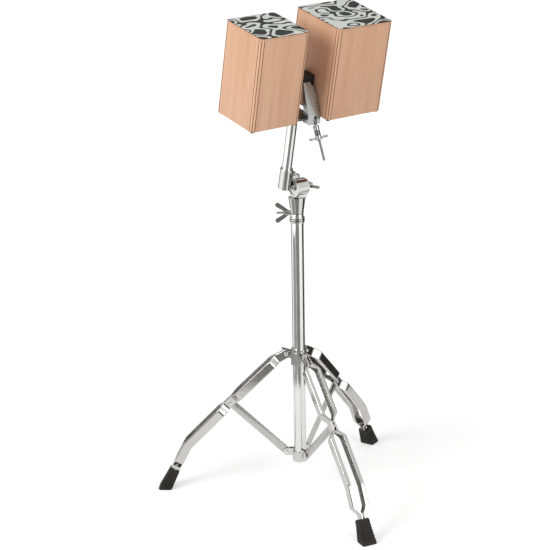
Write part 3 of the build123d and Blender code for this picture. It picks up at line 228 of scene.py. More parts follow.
def rounded(corners, radius, steps=5):
    """Closed outlines with round corners. At each corner both sides are cut back by the
    radius over the tangent of half the inner angle, at most 0.48 of the shorter side, and
    the arc between the cuts is the even turn of its first radius into its last one."""
    before = np.roll(corners, 1, axis=-2) - corners
    after = np.roll(corners, -1, axis=-2) - corners
    long_before = np.linalg.norm(before, axis=-1, keepdims=True)
    long_after = np.linalg.norm(after, axis=-1, keepdims=True)
    to_before = before / long_before
    to_after = after / long_after
    half = np.arccos(np.clip((to_before * to_after).sum(-1, keepdims=True), -1, 1)) / 2
    radius = np.broadcast_to(np.asarray(radius, float), corners.shape[:-1])[..., None]
    cut = np.minimum(radius / np.tan(half), 0.48 * np.minimum(long_before, long_after))
    true_radius = cut * np.tan(half)
    middle_way = to_before + to_after
    middle_way = middle_way / np.linalg.norm(middle_way, axis=-1, keepdims=True)
    centre = corners + middle_way * true_radius / np.sin(half)
    first = corners + to_before * cut - centre
    last = corners + to_after * cut - centre
    turn = np.pi - 2 * half
    share = np.linspace(0, 1, steps)[:, None]
    arc = (
        np.sin((1 - share) * turn[..., None, :]) * first[..., None, :]
        + np.sin(share * turn[..., None, :]) * last[..., None, :]
    ) / np.sin(turn[..., None, :]) + centre[..., None, :]
    lead = np.minimum(EDGE_SUPPORT, 0.02 * np.minimum(long_before, long_after))
    lead_in = (corners + to_before * (cut + lead))[..., None, :]
    lead_out = (corners + to_after * (cut + lead))[..., None, :]
    outline = np.concatenate([lead_in, arc, lead_out], axis=-2)
    return outline.reshape(*corners.shape[:-2], -1, corners.shape[-1])


def skin(name, grids, closed_rows=False):
    """One mesh over grids of points. Point (i, j) joins (i, j+1), (i+1, j+1) and (i+1, j),
    each ring of j is closed, and the rows end in flat faces unless they are closed too.
    The signed volume, a sum of p . (q x r), says whether the faces must be turned round."""
    points = []
    faces = []
    for grid in grids:
        rows, ring = grid.shape[:2]
        index = np.arange(rows * ring).reshape(rows, ring)
        low = index if closed_rows else index[:-1]
        high = np.roll(index, -1, axis=0) if closed_rows else index[1:]
        quads = np.stack([low, np.roll(low, -1, 1), np.roll(high, -1, 1), high], axis=-1)
        quads = quads.reshape(-1, 4)
        here = grid.reshape(-1, 3)
        centred = here - here.mean(axis=0)
        p, q, r, s = (centred[quads[:, corner]] for corner in range(4))
        volume = (p * np.cross(q, r)).sum() + (p * np.cross(r, s)).sum()
        own = quads.tolist()
        if not closed_rows:
            own += [index[0][::-1].tolist(), index[-1].tolist()]
        if volume < 0:
            own = [face[::-1] for face in own]
        start = sum(len(block) for block in points)
        faces += [[corner + start for corner in face] for face in own]
        points.append(here)
    mesh = bpy.data.meshes.new(name)
    mesh.from_pydata(np.concatenate(points).tolist(), [], faces)
    mesh.shade_smooth()
    mesh.set_sharp_from_angle(angle=np.radians(38))
    piece = bpy.data.objects.new(name, mesh)
    bpy.context.scene.collection.objects.link(piece)
    return piece


def turned(profile, start, axis, steps=72):
    """The grid of a turned piece: each profile point (distance along the axis, radius) is
    carried round the axis in even steps."""
    axis = np.asarray(axis, float) / np.linalg.norm(axis)
    helper = np.array([1.0, 0, 0]) if abs(axis[0]) < 0.9 else np.array([0, 1.0, 0])
    side = np.cross(axis, helper)
    side = side / np.linalg.norm(side)
    other = np.cross(axis, side)
    angle = np.linspace(0, 2 * np.pi, steps, endpoint=False)
    ring = np.cos(angle)[:, None] * side + np.sin(angle)[:, None] * other
    profile = np.asarray(profile, float)
    return start + profile[:, :1, None] * axis + profile[:, 1:, None] * ring


def fit(piece, finish, body, slot, *cad_nodes):
    """Gives a piece its finish, sets it on its body and hides the frame nodes it stands for.
    The slot is not used.
    """
    piece.data.materials.clear()
    piece.data.materials.append(finish)
    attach(piece, body)
    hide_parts(*cad_nodes)


def chrome(name, colour, roughness, grain, relief=0.04):
    """Plated steel: a metal whose roughness wanders with two noises, one of broad haze and
    one of fine polishing lines, and a bump of the fine one."""
    finish = bpy.data.materials.new(name)
    tree, output = nodes_of(finish)
    metal = tree.nodes.new("ShaderNodeBsdfPrincipled")
    metal.inputs["Metallic"].default_value = 1.0
    place = tree.nodes.new("ShaderNodeTexCoord")
    haze = tree.nodes.new("ShaderNodeTexNoise")
    haze.inputs["Scale"].default_value = 14.0
    haze.inputs["Detail"].default_value = 4.0
    lines = tree.nodes.new("ShaderNodeTexNoise")
    lines.inputs["Scale"].default_value = 1.0
    lines.inputs["Detail"].default_value = 3.0
    stretch = tree.nodes.new("ShaderNodeMapping")
    stretch.inputs["Scale"].default_value = grain
    tree.links.new(place.outputs["Object"], haze.inputs["Vector"])
    tree.links.new(place.outputs["Object"], stretch.inputs["Vector"])
    tree.links.new(stretch.outputs["Vector"], lines.inputs["Vector"])
    both = tree.nodes.new("ShaderNodeMath")
    both.operation = "MULTIPLY"
    tree.links.new(haze.outputs["Fac"], both.inputs[0])
    tree.links.new(lines.outputs["Fac"], both.inputs[1])
    rough = tree.nodes.new("ShaderNodeMapRange")
    rough.inputs["From Min"].default_value = 0.1
    rough.inputs["From Max"].default_value = 0.45
    rough.inputs["To Min"].default_value = roughness * 0.6
    rough.inputs["To Max"].default_value = roughness * 1.7
    tree.links.new(both.outputs[0], rough.inputs["Value"])
    tree.links.new(rough.outputs[0], metal.inputs["Roughness"])
    tint = tree.nodes.new("ShaderNodeValToRGB")
    tint.color_ramp.elements[0].position = 0.3
    tint.color_ramp.elements[0].color = (*[part * 0.9 for part in colour], 1.0)
    tint.color_ramp.elements[1].position = 0.7
    tint.color_ramp.elements[1].color = (*colour, 1.0)
    tree.links.new(haze.outputs["Fac"], tint.inputs["Fac"])
    tree.links.new(tint.outputs["Color"], metal.inputs["Base Color"])
    bump = tree.nodes.new("ShaderNodeBump")
    bump.inputs["Strength"].default_value = relief
    bump.inputs["Distance"].default_value = 0.0002
    tree.links.new(lines.outputs["Fac"], bump.inputs["Height"])
    tree.links.new(bump.outputs["Normal"], metal.inputs["Normal"])
    tree.links.new(metal.outputs[0], output.inputs["Surface"])
    return finish


def tube_profile(low, high, radius, wall):
    """A tube's wall cut along its axis: a thin rectangle with broken corners."""
    corners = np.array([
        (low, radius - wall),
        (low, radius),
        (high, radius),
        (high, radius - wall),
    ])
    return rounded(corners, 0.35 * wall, steps=3)


tube_chrome = chrome("tube_chrome", (0.72, 0.72, 0.70), 0.07, (900.0, 900.0, 12.0))
base_tube = skin(
    "base_tube_plated",
    [turned(tube_profile(tube_low.z, tube_high.z, TUBE_RADIUS, TUBE_WALL), column, (0, 0, 1), 96)],
    closed_rows=True,
)
fit(base_tube, tube_chrome, "stand_base", "chrome_tube", "base_tube")

# ================= legs =================
# Three double legs. Each is two channels pressed from chrome plated steel strip, which run
# wide apart and are pinched together at the collar, at the brace and at the foot.

LEG_TURN = 19.2
LEG_NAMES = ("rear", "left", "front")
LEG_PATH = np.array([
    (0.029, 0.338),
    (0.052, 0.325),
    (0.160, 0.2175),
    (0.260, 0.114),
    (0.293, 0.0485),
])
LEG_BEND_RADIUS = 0.045
LEG_SLOPE = np.radians(45.0)
STRIP_HALF = 0.0105
STRIP_WALL = 0.0018
STRIP_SPREAD = 0.020
STRIP_PINCH = 0.0056
STRIP_DEPTH = 0.0085
PINCH_INSIDE = 0.0023
JOGGLE = 0.015
KNEE_AFTER = 0.023
PINCH_HALF = 0.013
FOOT_PRESS = 0.010
STRIP_ROUND = 0.0024
STRIP_STEPS = 220
BEND_STEPS = 9
FAR_OFF = 0.3
END_CROWDING = 0.25
KNEE_BLUR = 0.0025


def along(degrees):
    """The level direction at an angle from +X, counter-clockwise seen from above."""
    return np.array([np.cos(np.radians(degrees)), np.sin(np.radians(degrees)), 0.0])


def leg_frame(degrees):
    """The upright plane of one leg as rows: its origin, outwards, upwards and sideways."""
    return np.array([column, along(degrees), (0, 0, 1.0), along(degrees - 90)])


def put(points, place):
    """Points of a place's own three axes, carried into the object's frame."""
    return place[0] + points @ place[1:]


def slope_run(points):
    """How far down the leg's main slope points of its side view lie."""
    return points[..., 0] * np.cos(LEG_SLOPE) - points[..., 1] * np.sin(LEG_SLOPE)


def bent_path(corners, radius, steps):
    """An open path whose corners are arcs, sampled at even lengths with crowded ends: the
    share of the length is half of one minus the cosine of an even turn, near the ends."""
    far_side = corners[[-1, 0]] + FAR_OFF
    closed = rounded(np.concatenate([corners, far_side]), radius, steps=BEND_STEPS)
    per_corner = BEND_STEPS + 2
    inner = closed[per_corner:(len(corners) - 1) * per_corner]
    path = np.concatenate([corners[:1], inner, corners[-1:]])
    gone = np.concatenate([[0], np.cumsum(np.linalg.norm(np.diff(path, axis=0), axis=1))])
    even = np.linspace(0, 1, steps)
    share = 0.5 - 0.5 * np.cos(np.pi * even)
    at = gone[-1] * ((1 - END_CROWDING) * even + END_CROWDING * share)
    return np.column_stack([np.interp(at, gone, path[:, side]) for side in (0, 1)]), at


def leg_grid(side):
    """One channel of a leg in the leg's own plane. Its middle line follows the leg's path,
    its half width is the round end's chord and then constant, and its sideways place ramps
    between pinched and wide; the closed section is a U with round corners."""
    corners = LEG_PATH.copy()
    first = corners[1] - corners[0]
    last = corners[-1] - corners[-2]
    corners[0] -= first / np.linalg.norm(first) * STRIP_HALF
    corners[-1] += last / np.linalg.norm(last) * STRIP_HALF
    middle, gone = bent_path(corners, LEG_BEND_RADIUS, STRIP_STEPS)
    tangent = np.gradient(middle, gone, axis=0)
    tangent /= np.linalg.norm(tangent, axis=1, keepdims=True)
    normal = np.column_stack([-tangent[:, 1], tangent[:, 0]])
    from_end = np.minimum(gone, gone[-1] - gone)
    inset = np.clip(STRIP_HALF - from_end, 0, STRIP_HALF * 0.995)
    half = np.sqrt(STRIP_HALF ** 2 - inset ** 2)
    start, brace, foot = (slope_run(LEG_PATH[number]) for number in (0, 2, 4))
    ramps = [
        (start + KNEE_AFTER, 0), (start + KNEE_AFTER + JOGGLE, 1),
        (brace - PINCH_HALF - JOGGLE, 1), (brace - PINCH_HALF, 0),
        (brace + PINCH_HALF, 0), (brace + PINCH_HALF + JOGGLE, 1),
        (foot - FOOT_PRESS - JOGGLE, 1), (foot - FOOT_PRESS, 0),
    ]
    nearby = slope_run(middle)[:, None] + np.linspace(-KNEE_BLUR, KNEE_BLUR, 7)
    wide = np.interp(nearby, *zip(*ramps)).mean(axis=1)
    outer = STRIP_PINCH + wide * (STRIP_SPREAD - STRIP_PINCH)
    inner = PINCH_INSIDE + wide * (STRIP_SPREAD - STRIP_DEPTH - PINCH_INSIDE)
    wall = np.minimum(STRIP_WALL, 0.4 * half)
    web = outer - STRIP_WALL
    section = np.stack([
        np.column_stack([-half, inner]), np.column_stack([-half, outer]),
        np.column_stack([half, outer]), np.column_stack([half, inner]),
        np.column_stack([half - wall, inner]), np.column_stack([half - wall, web]),
        np.column_stack([wall - half, web]), np.column_stack([wall - half, inner]),
    ], axis=1)
    lip = 0.3 * STRIP_WALL
    bends = np.array([lip, STRIP_ROUND, STRIP_ROUND, lip, lip, lip, lip, lip])
    ring = rounded(section, bends, steps=5)
    flat = middle[:, None, :] + ring[..., :1] * normal[:, None, :]
    return np.concatenate([flat, side * ring[..., 1:]], axis=2)


LEGS = {name: LEG_TURN + 120 * number for number, name in enumerate(LEG_NAMES)}
strip_chrome = chrome("strip_chrome", (0.56, 0.555, 0.53), 0.12, (160.0, 160.0, 160.0), 0.01)
for leg, angle in LEGS.items():
    for letter, side in (("a", 1), ("b", -1)):
        strip = skin(f"{leg}_leg_channel_{letter}", [put(leg_grid(side), leg_frame(angle))])
        fit(strip, strip_chrome, f"{leg}_leg", "chrome_strip", f"{leg}_leg_strip_{letter}")

# Steel rivets hold each leg at the collar and at the foot, and two short ones, one in each
# channel, stand at the brace. Their heads are snapped to a low dome.

RIVET_RADIUS = 0.003
RIVET_HEAD = 0.0046
RIVET_RISE = 0.0016
RIVET_SHORT = 0.0002


def rivet_profile(low, high, domed_low, domed_high):
    """A rivet cut along its axis: a shaft, and at a domed end a head whose height over the
    strip is its rise times the cosine of a quarter turn as its radius grows by the sine."""
    turn = np.linspace(np.pi / 2, 0.02, 9)
    dome = np.column_stack([RIVET_RISE * np.cos(turn), RIVET_HEAD * np.sin(turn)])
    low_end = dome[::-1] * (-1, 1) + (low, 0) if domed_low else np.array([(low, RIVET_RADIUS)])
    high_end = dome + (high, 0) if domed_high else np.array([(high, RIVET_RADIUS)])
    shaft = np.array([(low + 1e-5, RIVET_RADIUS), (high - 1e-5, RIVET_RADIUS)])
    return np.concatenate([low_end, shaft, high_end])


rivet_steel = chrome("rivet_steel", (0.70, 0.70, 0.68), 0.16, (500.0, 500.0, 500.0))
for leg, angle in LEGS.items():
    place = leg_frame(angle)
    sideways = place[3]
    through = rivet_profile(-STRIP_PINCH, STRIP_PINCH, True, True)
    short = rivet_profile(PINCH_INSIDE + RIVET_SHORT, STRIP_PINCH, False, True)
    pivot, joint, foot = (put(np.array([*LEG_PATH[number], 0]), place) for number in (0, 2, 4))
    rivets = skin(f"{leg}_leg_domed_rivets", [
        turned(through, pivot, sideways, 32),
        turned(through, foot, sideways, 32),
        turned(short, joint, sideways, 32),
        turned(short, joint, -sideways, 32),
    ])
    fit(rivets, rivet_steel, f"{leg}_leg", "rivet_steel", f"{leg}_leg_rivets")

# Moulded black rubber feet, sleeved over the pinched leg ends. They are cut flat where they
# stand, with a round lip at the top and moulded ribs round the sides.

FOOT_IN = np.array([(0.303, 0.0), (0.300, 0.003)])
FOOT_OUT = np.array([(0.3295, 0.0), (0.3321, 0.003)])
FOOT_TOP_HALF = 0.0119
FOOT_TOP_SIDE = 0.0127
FOOT_BASE_SIDE = 0.017
FOOT_RIB = 0.0011
FOOT_RIB_STEP = 0.0064
FOOT_LIP = 0.0032
FOOT_ROUND = 0.0032
FOOT_FLAT_IN = 0.0012
RIBS_FROM = 0.12
RIBS_TO = 0.84


def foot_grid():
    """A foot in its leg's plane. Its rows climb from the flat to the top, between an inner
    and an outer edge line, and each is a rectangle with round corners. A row is drawn in by
    the rib depth times a sharpened cosine of its height, and at the top by a quarter round."""
    way = LEG_PATH[4] - LEG_PATH[3]
    way = way / np.linalg.norm(way)
    square = np.array([-way[1], way[0]])
    top_in = LEG_PATH[4] - square * FOOT_TOP_HALF
    top_out = LEG_PATH[4] + square * FOOT_TOP_HALF
    share = np.concatenate([[0, 0], np.linspace(0.0, 0.95, 66), np.linspace(0.955, 1, 9)])
    inner = FOOT_IN[1] + share[:, None] * (top_in - FOOT_IN[1])
    outer = FOOT_OUT[1] + share[:, None] * (top_out - FOOT_OUT[1])
    inner[0], outer[0] = FOOT_IN[0], FOOT_OUT[0]
    inner[1], outer[1] = FOOT_IN[0] * 0.7 + FOOT_IN[1] * 0.3, FOOT_OUT[0] * 0.7 + FOOT_OUT[1] * 0.3
    length = np.linalg.norm(top_out - FOOT_OUT[1])
    wave = 0.5 + 0.5 * np.cos(2 * np.pi * share * length / FOOT_RIB_STEP)
    ribbed = (share > RIBS_FROM) & (share < RIBS_TO)
    drawn = np.where(ribbed, FOOT_RIB * wave ** 3, 0.0)
    up_lip = np.clip((share * length - length + FOOT_LIP) / FOOT_LIP, 0, 1)
    drawn = drawn + FOOT_LIP * (1 - np.sqrt(1 - up_lip ** 2 * 0.96))
    side = FOOT_BASE_SIDE + share * (FOOT_TOP_SIDE - FOOT_BASE_SIDE) - drawn
    side[0] -= FOOT_FLAT_IN
    across = outer - inner
    across = across / np.linalg.norm(across, axis=1, keepdims=True)
    inner = inner + across * drawn[:, None]
    outer = outer - across * drawn[:, None]
    corners = np.stack([
        np.column_stack([inner, -side]), np.column_stack([outer, -side]),
        np.column_stack([outer, side]), np.column_stack([inner, side]),
    ], axis=1)
    return rounded(corners, FOOT_ROUND, steps=8)


def rubber(name, grain, dusty=(0.024, 0.023, 0.019)):
    """Moulded rubber: near black, with a dusty bloom from one noise, and a fine matt bump."""
    finish = bpy.data.materials.new(name)
    tree, output = nodes_of(finish)
    body = tree.nodes.new("ShaderNodeBsdfPrincipled")
    body.inputs["Specular IOR Level"].default_value = 0.3
    place = tree.nodes.new("ShaderNodeTexCoord")
    bloom = tree.nodes.new("ShaderNodeTexNoise")
    bloom.inputs["Scale"].default_value = 45.0
    bloom.inputs["Detail"].default_value = 5.0
    tint = tree.nodes.new("ShaderNodeValToRGB")
    tint.color_ramp.elements[0].position = 0.35
    tint.color_ramp.elements[0].color = (0.007, 0.0068, 0.006, 1.0)
    tint.color_ramp.elements[1].position = 0.72
    tint.color_ramp.elements[1].color = (*dusty, 1.0)
    rough = tree.nodes.new("ShaderNodeMapRange")
    rough.inputs["To Min"].default_value = 0.48
    rough.inputs["To Max"].default_value = 0.78
    fine = tree.nodes.new("ShaderNodeTexNoise")
    fine.inputs["Scale"].default_value = grain
    fine.inputs["Detail"].default_value = 3.0
    bump = tree.nodes.new("ShaderNodeBump")
    bump.inputs["Strength"].default_value = 0.25
    bump.inputs["Distance"].default_value = 0.0003
    tree.links.new(place.outputs["Object"], bloom.inputs["Vector"])
    tree.links.new(place.outputs["Object"], fine.inputs["Vector"])
    tree.links.new(bloom.outputs["Fac"], tint.inputs["Fac"])
    tree.links.new(bloom.outputs["Fac"], rough.inputs["Value"])
    tree.links.new(tint.outputs["Color"], body.inputs["Base Color"])
    tree.links.new(rough.outputs[0], body.inputs["Roughness"])
    tree.links.new(fine.outputs["Fac"], bump.inputs["Height"])
    tree.links.new(bump.outputs["Normal"], body.inputs["Normal"])
    tree.links.new(body.outputs[0], output.inputs["Surface"])
    return finish


foot_rubber = rubber("foot_rubber", 1400.0)
for leg, angle in LEGS.items():
    foot = skin(f"{leg}_ribbed_foot", [put(foot_grid(), leg_frame(angle))])
    fit(foot, foot_rubber, f"{leg}_leg", "black_rubber", f"{leg}_rubber_foot")

# ================= braces =================
# One flat chrome plated bar with round ends and softened edges from the brace collar to
# each leg, riveted at the collar and held between the leg's two channels at its other end.

BRACE_PIVOT = np.array([0.0303, 0.0963])
BRACE_HALF = 0.00925
BAR_HALF = 0.002
BAR_EDGE = 0.0011


def stadium(start, end, half, steps=24):
    """The outline of a strip with round ends: half circles about both end points."""
    way = np.asarray(end) - start
    heading = np.arctan2(way[1], way[0])
    turn = heading + np.linspace(-np.pi / 2, np.pi / 2, steps)
    arc = np.column_stack([np.cos(turn), np.sin(turn)])
    return np.concatenate([end + half * arc, start - half * arc])


def pressed(outline, low, high, edge, steps=4):
    """A plate's rows: its outline at rising heights, drawn in at both faces by the edge
    times one minus the sine of a quarter turn, along the outline's own normals."""
    tangent = np.roll(outline, -1, axis=0) - np.roll(outline, 1, axis=0)
    tangent = tangent / np.linalg.norm(tangent, axis=1, keepdims=True)
    inward = np.column_stack([-tangent[:, 1], tangent[:, 0]])
    area = np.cross(outline, np.roll(outline, -1, axis=0)).sum()
    inward = inward if area > 0 else -inward
    turn = np.linspace(0, np.pi / 2, steps)
    drawn = edge * (1 - np.sin(turn))
    rise = edge * (1 - np.cos(turn))
    inset = np.concatenate([drawn, drawn[::-1]])
    height = np.concatenate([low + rise, high - rise[::-1]])
    flat = outline + inset[:, None, None] * inward
    tall = np.broadcast_to(height[:, None, None], (*flat.shape[:2], 1))
    return np.concatenate([flat, tall], axis=2)


brace_chrome = chrome("brace_chrome", (0.52, 0.515, 0.49), 0.25, (200.0, 200.0, 200.0), 0.02)
for leg, angle in LEGS.items():
    bar = pressed(stadium(BRACE_PIVOT, LEG_PATH[2], BRACE_HALF), -BAR_HALF, BAR_HALF, BAR_EDGE)
    brace = skin(f"{leg}_brace_bar", [put(bar, leg_frame(angle))])
    fit(brace, brace_chrome, f"{leg}_brace", "chrome_strip", f"{leg}_brace")

# ================= castings and small hardware =================
# The collars, clamps and tilter are plated zinc castings, not quite mirrors, and the wing
# nuts are duller. Bracket and jaw are satin steel, and every edge is broken by a round.

casting_chrome = chrome("casting_chrome", (0.62, 0.62, 0.60), 0.15, (240.0, 240.0, 240.0), 0.02)
wing_zinc = chrome("wing_zinc", (0.42, 0.42, 0.405), 0.22, (300.0, 300.0, 300.0))
dark_zinc = chrome("dark_zinc", (0.16, 0.16, 0.155), 0.30, (700.0, 700.0, 700.0))
satin_steel = chrome("satin_steel", (0.445, 0.455, 0.45), 0.24, (90.0, 90.0, 700.0), 0.01)
nylon = rubber("black_nylon", 2400.0)
MERGE_WITHIN = 2e-6
MELT_ANGLE = np.radians(0.6)


def softened(name, node, edge, segments=3):
    """A copy of a frame node with its loose triangles merged, its flat fans melted into
    whole faces, and each edge over 32 degrees turned into a small round."""
    mesh = frame["nodes"][node].data.copy()
    mesh.name = name
    shape = bmesh.new()
    shape.from_mesh(mesh)
    bmesh.ops.remove_doubles(shape, verts=shape.verts, dist=MERGE_WITHIN)
    bmesh.ops.dissolve_limit(
        shape, angle_limit=MELT_ANGLE, verts=shape.verts, edges=shape.edges
    )
    shape.to_mesh(mesh)
    shape.free()
    mesh.shade_smooth()
    mesh.set_sharp_from_angle(angle=np.radians(32))
    piece = bpy.data.objects.new(name, mesh)
    bpy.context.scene.collection.objects.link(piece)
    soften = piece.modifiers.new("edge", "BEVEL")
    soften.width = edge
    soften.segments = segments
    soften.limit_method = "ANGLE"
    soften.angle_limit = np.radians(32)
    soften.harden_normals = True
    return piece


# Each row: node, edge round, finish, body, slot.
HARDWARE = (
    ("tube_plug", 0.0006, nylon, "stand_base", "black_nylon"),
    ("brace_collar", 0.0005, casting_chrome, "stand_base", "chrome_casting"),
    ("brace_collar_pin", 0.0002, rivet_steel, "stand_base", "rivet_steel"),
    ("height_clamp", 0.0006, casting_chrome, "stand_base", "chrome_casting"),
    ("height_clamp_bolt", 0.0003, casting_chrome, "stand_base", "chrome_casting"),
    ("leg_collar", 0.0007, casting_chrome, "leg_collar", "chrome_casting"),
    ("leg_wing_bolt", 0.0010, wing_zinc, "leg_wing_bolt", "chrome_casting"),
    ("height_wing_nut", 0.0010, wing_zinc, "height_wing_nut", "chrome_casting"),
    ("tube_bush", 0.0002, nylon, "tube_bush", "black_nylon"),
    ("height_tube_guide", 0.0004, nylon, "height_tube", "black_nylon"),
    ("tilter_base", 0.0007, casting_chrome, "height_tube", "chrome_casting"),
    ("tilter_cross_pin", 0.0004, dark_zinc, "height_tube", "dark_bolt"),
    ("tilter_bolt", 0.0004, casting_chrome, "height_tube", "chrome_casting"),
    ("tilter_washer", 0.0003, casting_chrome, "height_tube", "chrome_casting"),
    ("tilter_wing_nut", 0.0010, wing_zinc, "tilter_wing_nut", "chrome_casting"),
    ("tilter_head", 0.0007, casting_chrome, "tilter_head", "chrome_casting"),
    ("rod_socket_screw", 0.0005, dark_zinc, "tilter_head", "dark_bolt"),
    ("rod_top_screw", 0.0004, dark_zinc, "rod_and_drums", "dark_bolt"),
    ("bracket_plate", 0.0006, satin_steel, "rod_and_drums", "grey_steel"),
    ("jaw_pin", 0.0004, rivet_steel, "rod_and_drums", "rivet_steel"),
    ("clamp_jaw", 0.0007, satin_steel, "clamp_jaw", "grey_steel"),
    ("block_bolts", 0.0004, dark_zinc, "rod_and_drums", "dark_bolt"),
)
for node, edge, finish, body, slot in HARDWARE:
    fit(softened(f"{node}_finished", node, edge), finish, body, slot, node)

# Two black nylon rings lie in the height clamp's band, where it grips the tube's top.

CLAMP_WALL = 0.0023
RING_PROUD = 0.00035
RING_HALF = 0.00095
RING_RISES = (0.0054, 0.0098)

clamp_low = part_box("height_clamp")[0].z
ring_reach = TUBE_RADIUS + CLAMP_WALL
grip_rings = []
for rise in RING_RISES:
    middle = clamp_low + rise
    ring_corners = np.array([
        (middle - RING_HALF, ring_reach - CLAMP_WALL / 2),
        (middle - RING_HALF, ring_reach + RING_PROUD),
        (middle + RING_HALF, ring_reach + RING_PROUD),
        (middle + RING_HALF, ring_reach - CLAMP_WALL / 2),
    ])
    grip_rings.append(turned(rounded(ring_corners, RING_PROUD, steps=4), column, (0, 0, 1), 96))
fit(skin("height_clamp_rings", grip_rings, closed_rows=True), nylon, "stand_base",
    "black_nylon", "height_clamp")

# ================= column and rod tubes =================
# The height tube slides and turns in the nylon bush, and the support rod is clamped in the
# tilter's socket. Both are drawn steel tube, plated, with their cut ends broken.

HEIGHT_TUBE_RADIUS = 0.0111
HEIGHT_TUBE_WALL = 0.0012
ROD_RADIUS = 0.0111
ROD_WALL = 0.0014
ROD_X = -0.0195
ROD_BACK = 0.019
ROD_FOOT = 0.002
ROD_TOP = 0.1605

inner_low, inner_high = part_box("height_tube")
height_tube = skin(
    "height_tube_plated",
    [turned(
        tube_profile(inner_low.z, inner_high.z, HEIGHT_TUBE_RADIUS, HEIGHT_TUBE_WALL),
        column, (0, 0, 1), 96,
    )],
    closed_rows=True,
)
fit(height_tube, tube_chrome, "height_tube", "chrome_tube", "height_tube")

head_up = np.array(joints["rod_swivel"]["axis"], float)
head_up = head_up / np.linalg.norm(head_up)
HEAD = np.array([
    joints["tilter_tilt"]["pos_m"], (1.0, 0, 0), np.cross(head_up, (1.0, 0, 0)), head_up,
])
HEAD[0, :2] = column[:2]
HEAD_LEAN = np.arctan2(-head_up[1], head_up[2])
rod_foot = put(np.array([ROD_X, ROD_BACK, 0.0]), HEAD)
support_rod = skin(
    "support_rod_plated",
    [turned(tube_profile(ROD_FOOT, ROD_TOP, ROD_RADIUS, ROD_WALL), rod_foot, head_up, 96)],
    closed_rows=True,
)
fit(support_rod, tube_chrome, "rod_and_drums", "chrome_tube", "support_rod")

# Domed rivets pass through the brace collar's ears and the ends of the braces.

EAR_REACH = 0.0029

collar_rivets = []
for leg, angle in LEGS.items():
    place = leg_frame(angle)
    reach = BAR_HALF + EAR_REACH
    pin = rivet_profile(-reach, reach, True, True)
    collar_rivets.append(turned(pin, put(np.array([*BRACE_PIVOT, 0]), place), place[3], 32))
fit(skin("brace_collar_domed_rivets", collar_rivets), rivet_steel, "stand_base", "rivet_steel",
    "brace_collar_rivets")

# ================= jaw bolt and sleeve nut =================
# A long threaded bolt through the bracket's lug pulls the jaw up against the drums. Its
# nut is a turned steel sleeve with a blackened collar and a bar to turn it by hand.

BOLT_X = 0.0128
BOLT_LEAN = np.radians(33.6)
BOLT_START = (0.009, 0.201)
BOLT_LENGTH = 0.133
BOLT_RADIUS = 0.0031
THREAD_PITCH = 0.00125
THREAD_DEPTH = 0.0005
NUT_START = 0.0536
NUT_LENGTH = 0.0335
NUT_RADIUS = 0.0066
BAR_RADIUS = 0.0026
BAR_REACH = 0.022
BAR_FROM_END = 0.005
BAR_TURN = np.radians(-36.9)
BAR_CAP = 0.0016
NUT_BORE = 0.0032
NUT_WAIST = 0.0056

bolt_down = put(np.array([0, -np.sin(BOLT_LEAN), -np.cos(BOLT_LEAN)]), HEAD) - HEAD[0]
bolt_square = put(np.array([0, np.cos(BOLT_LEAN), -np.sin(BOLT_LEAN)]), HEAD) - HEAD[0]
bolt_start = put(np.array([BOLT_X, *BOLT_START]), HEAD)


def threaded(length, radius, pitch, depth, steps=20):
    """A screw thread's grid: the radius falls by the depth times a saw of even flanks, whose
    phase is the distance along the axis over the pitch less the turn round it, and both
    ends taper over one pitch."""
    gone = np.arange(0, length, pitch / 5)
    gone = np.append(gone, length)
    round_share = np.arange(steps) / steps
    phase = gone[:, None] / pitch - round_share
    saw = np.abs(2 * (phase - np.floor(phase)) - 1)
    end = np.clip(np.minimum(gone, length - gone) / pitch, 0, 1)[:, None]
    reach = radius - depth * np.clip(1.25 * saw - 0.12, 0, 1) - (1 - end) * 1.4 * depth
    across = np.cross(bolt_down, bolt_square)
    ring = (
        np.cos(2 * np.pi * round_share)[:, None] * bolt_square
        + np.sin(2 * np.pi * round_share)[:, None] * across
    )
    return bolt_start + gone[:, None, None] * bolt_down + reach[..., None] * ring


jaw_bolt = skin("jaw_bolt_threaded", [
    threaded(BOLT_LENGTH, BOLT_RADIUS, THREAD_PITCH, THREAD_DEPTH)
])
fit(jaw_bolt, wing_zinc, "rod_and_drums", "dark_bolt", "jaw_bolt")

nut_face = bolt_start + NUT_START * bolt_down
sleeve_corners = np.array([
    (0.0, NUT_BORE), (0.0, 0.0060), (0.0035, NUT_RADIUS), (0.0120, NUT_RADIUS),
    (0.0130, NUT_WAIST), (0.0225, NUT_WAIST), (0.0235, NUT_RADIUS),
    (NUT_LENGTH, NUT_RADIUS), (NUT_LENGTH, NUT_BORE),
])
sleeve = turned(rounded(sleeve_corners, 0.0005, steps=3), nut_face, bolt_down, 48)
fit(skin("jaw_nut_sleeve", [sleeve], closed_rows=True), wing_zinc, "jaw_nut",
    "chrome_casting", "jaw_nut")
bar_way = np.cos(BAR_TURN) * bolt_square + np.sin(BAR_TURN) * np.cross(bolt_down, bolt_square)
bar_middle = nut_face + (NUT_LENGTH - BAR_FROM_END) * bolt_down
end_turn = np.linspace(0.05, np.pi / 2, 6)
cap = np.column_stack([-BAR_CAP * np.cos(end_turn), BAR_RADIUS * np.sin(end_turn)])
low_cap = cap + (-BAR_REACH + BAR_CAP, 0)
high_cap = (cap * (-1, 1))[::-1] + (BAR_REACH - BAR_CAP, 0)
hand_bar = skin("jaw_nut_bar", [
    turned(np.concatenate([low_cap, high_cap]), bar_middle, bar_way, 32),
])
fit(hand_bar, wing_zinc, "jaw_nut", "chrome_casting", "jaw_nut")
collar_corners = np.array([
    (0.0132, 0.0055), (0.0132, 0.0065), (0.0222, 0.0065), (0.0222, 0.0055),
])
nut_collar = skin("jaw_nut_collar", [
    turned(rounded(collar_corners, 0.0003, steps=3), nut_face, bolt_down, 48),
], closed_rows=True)
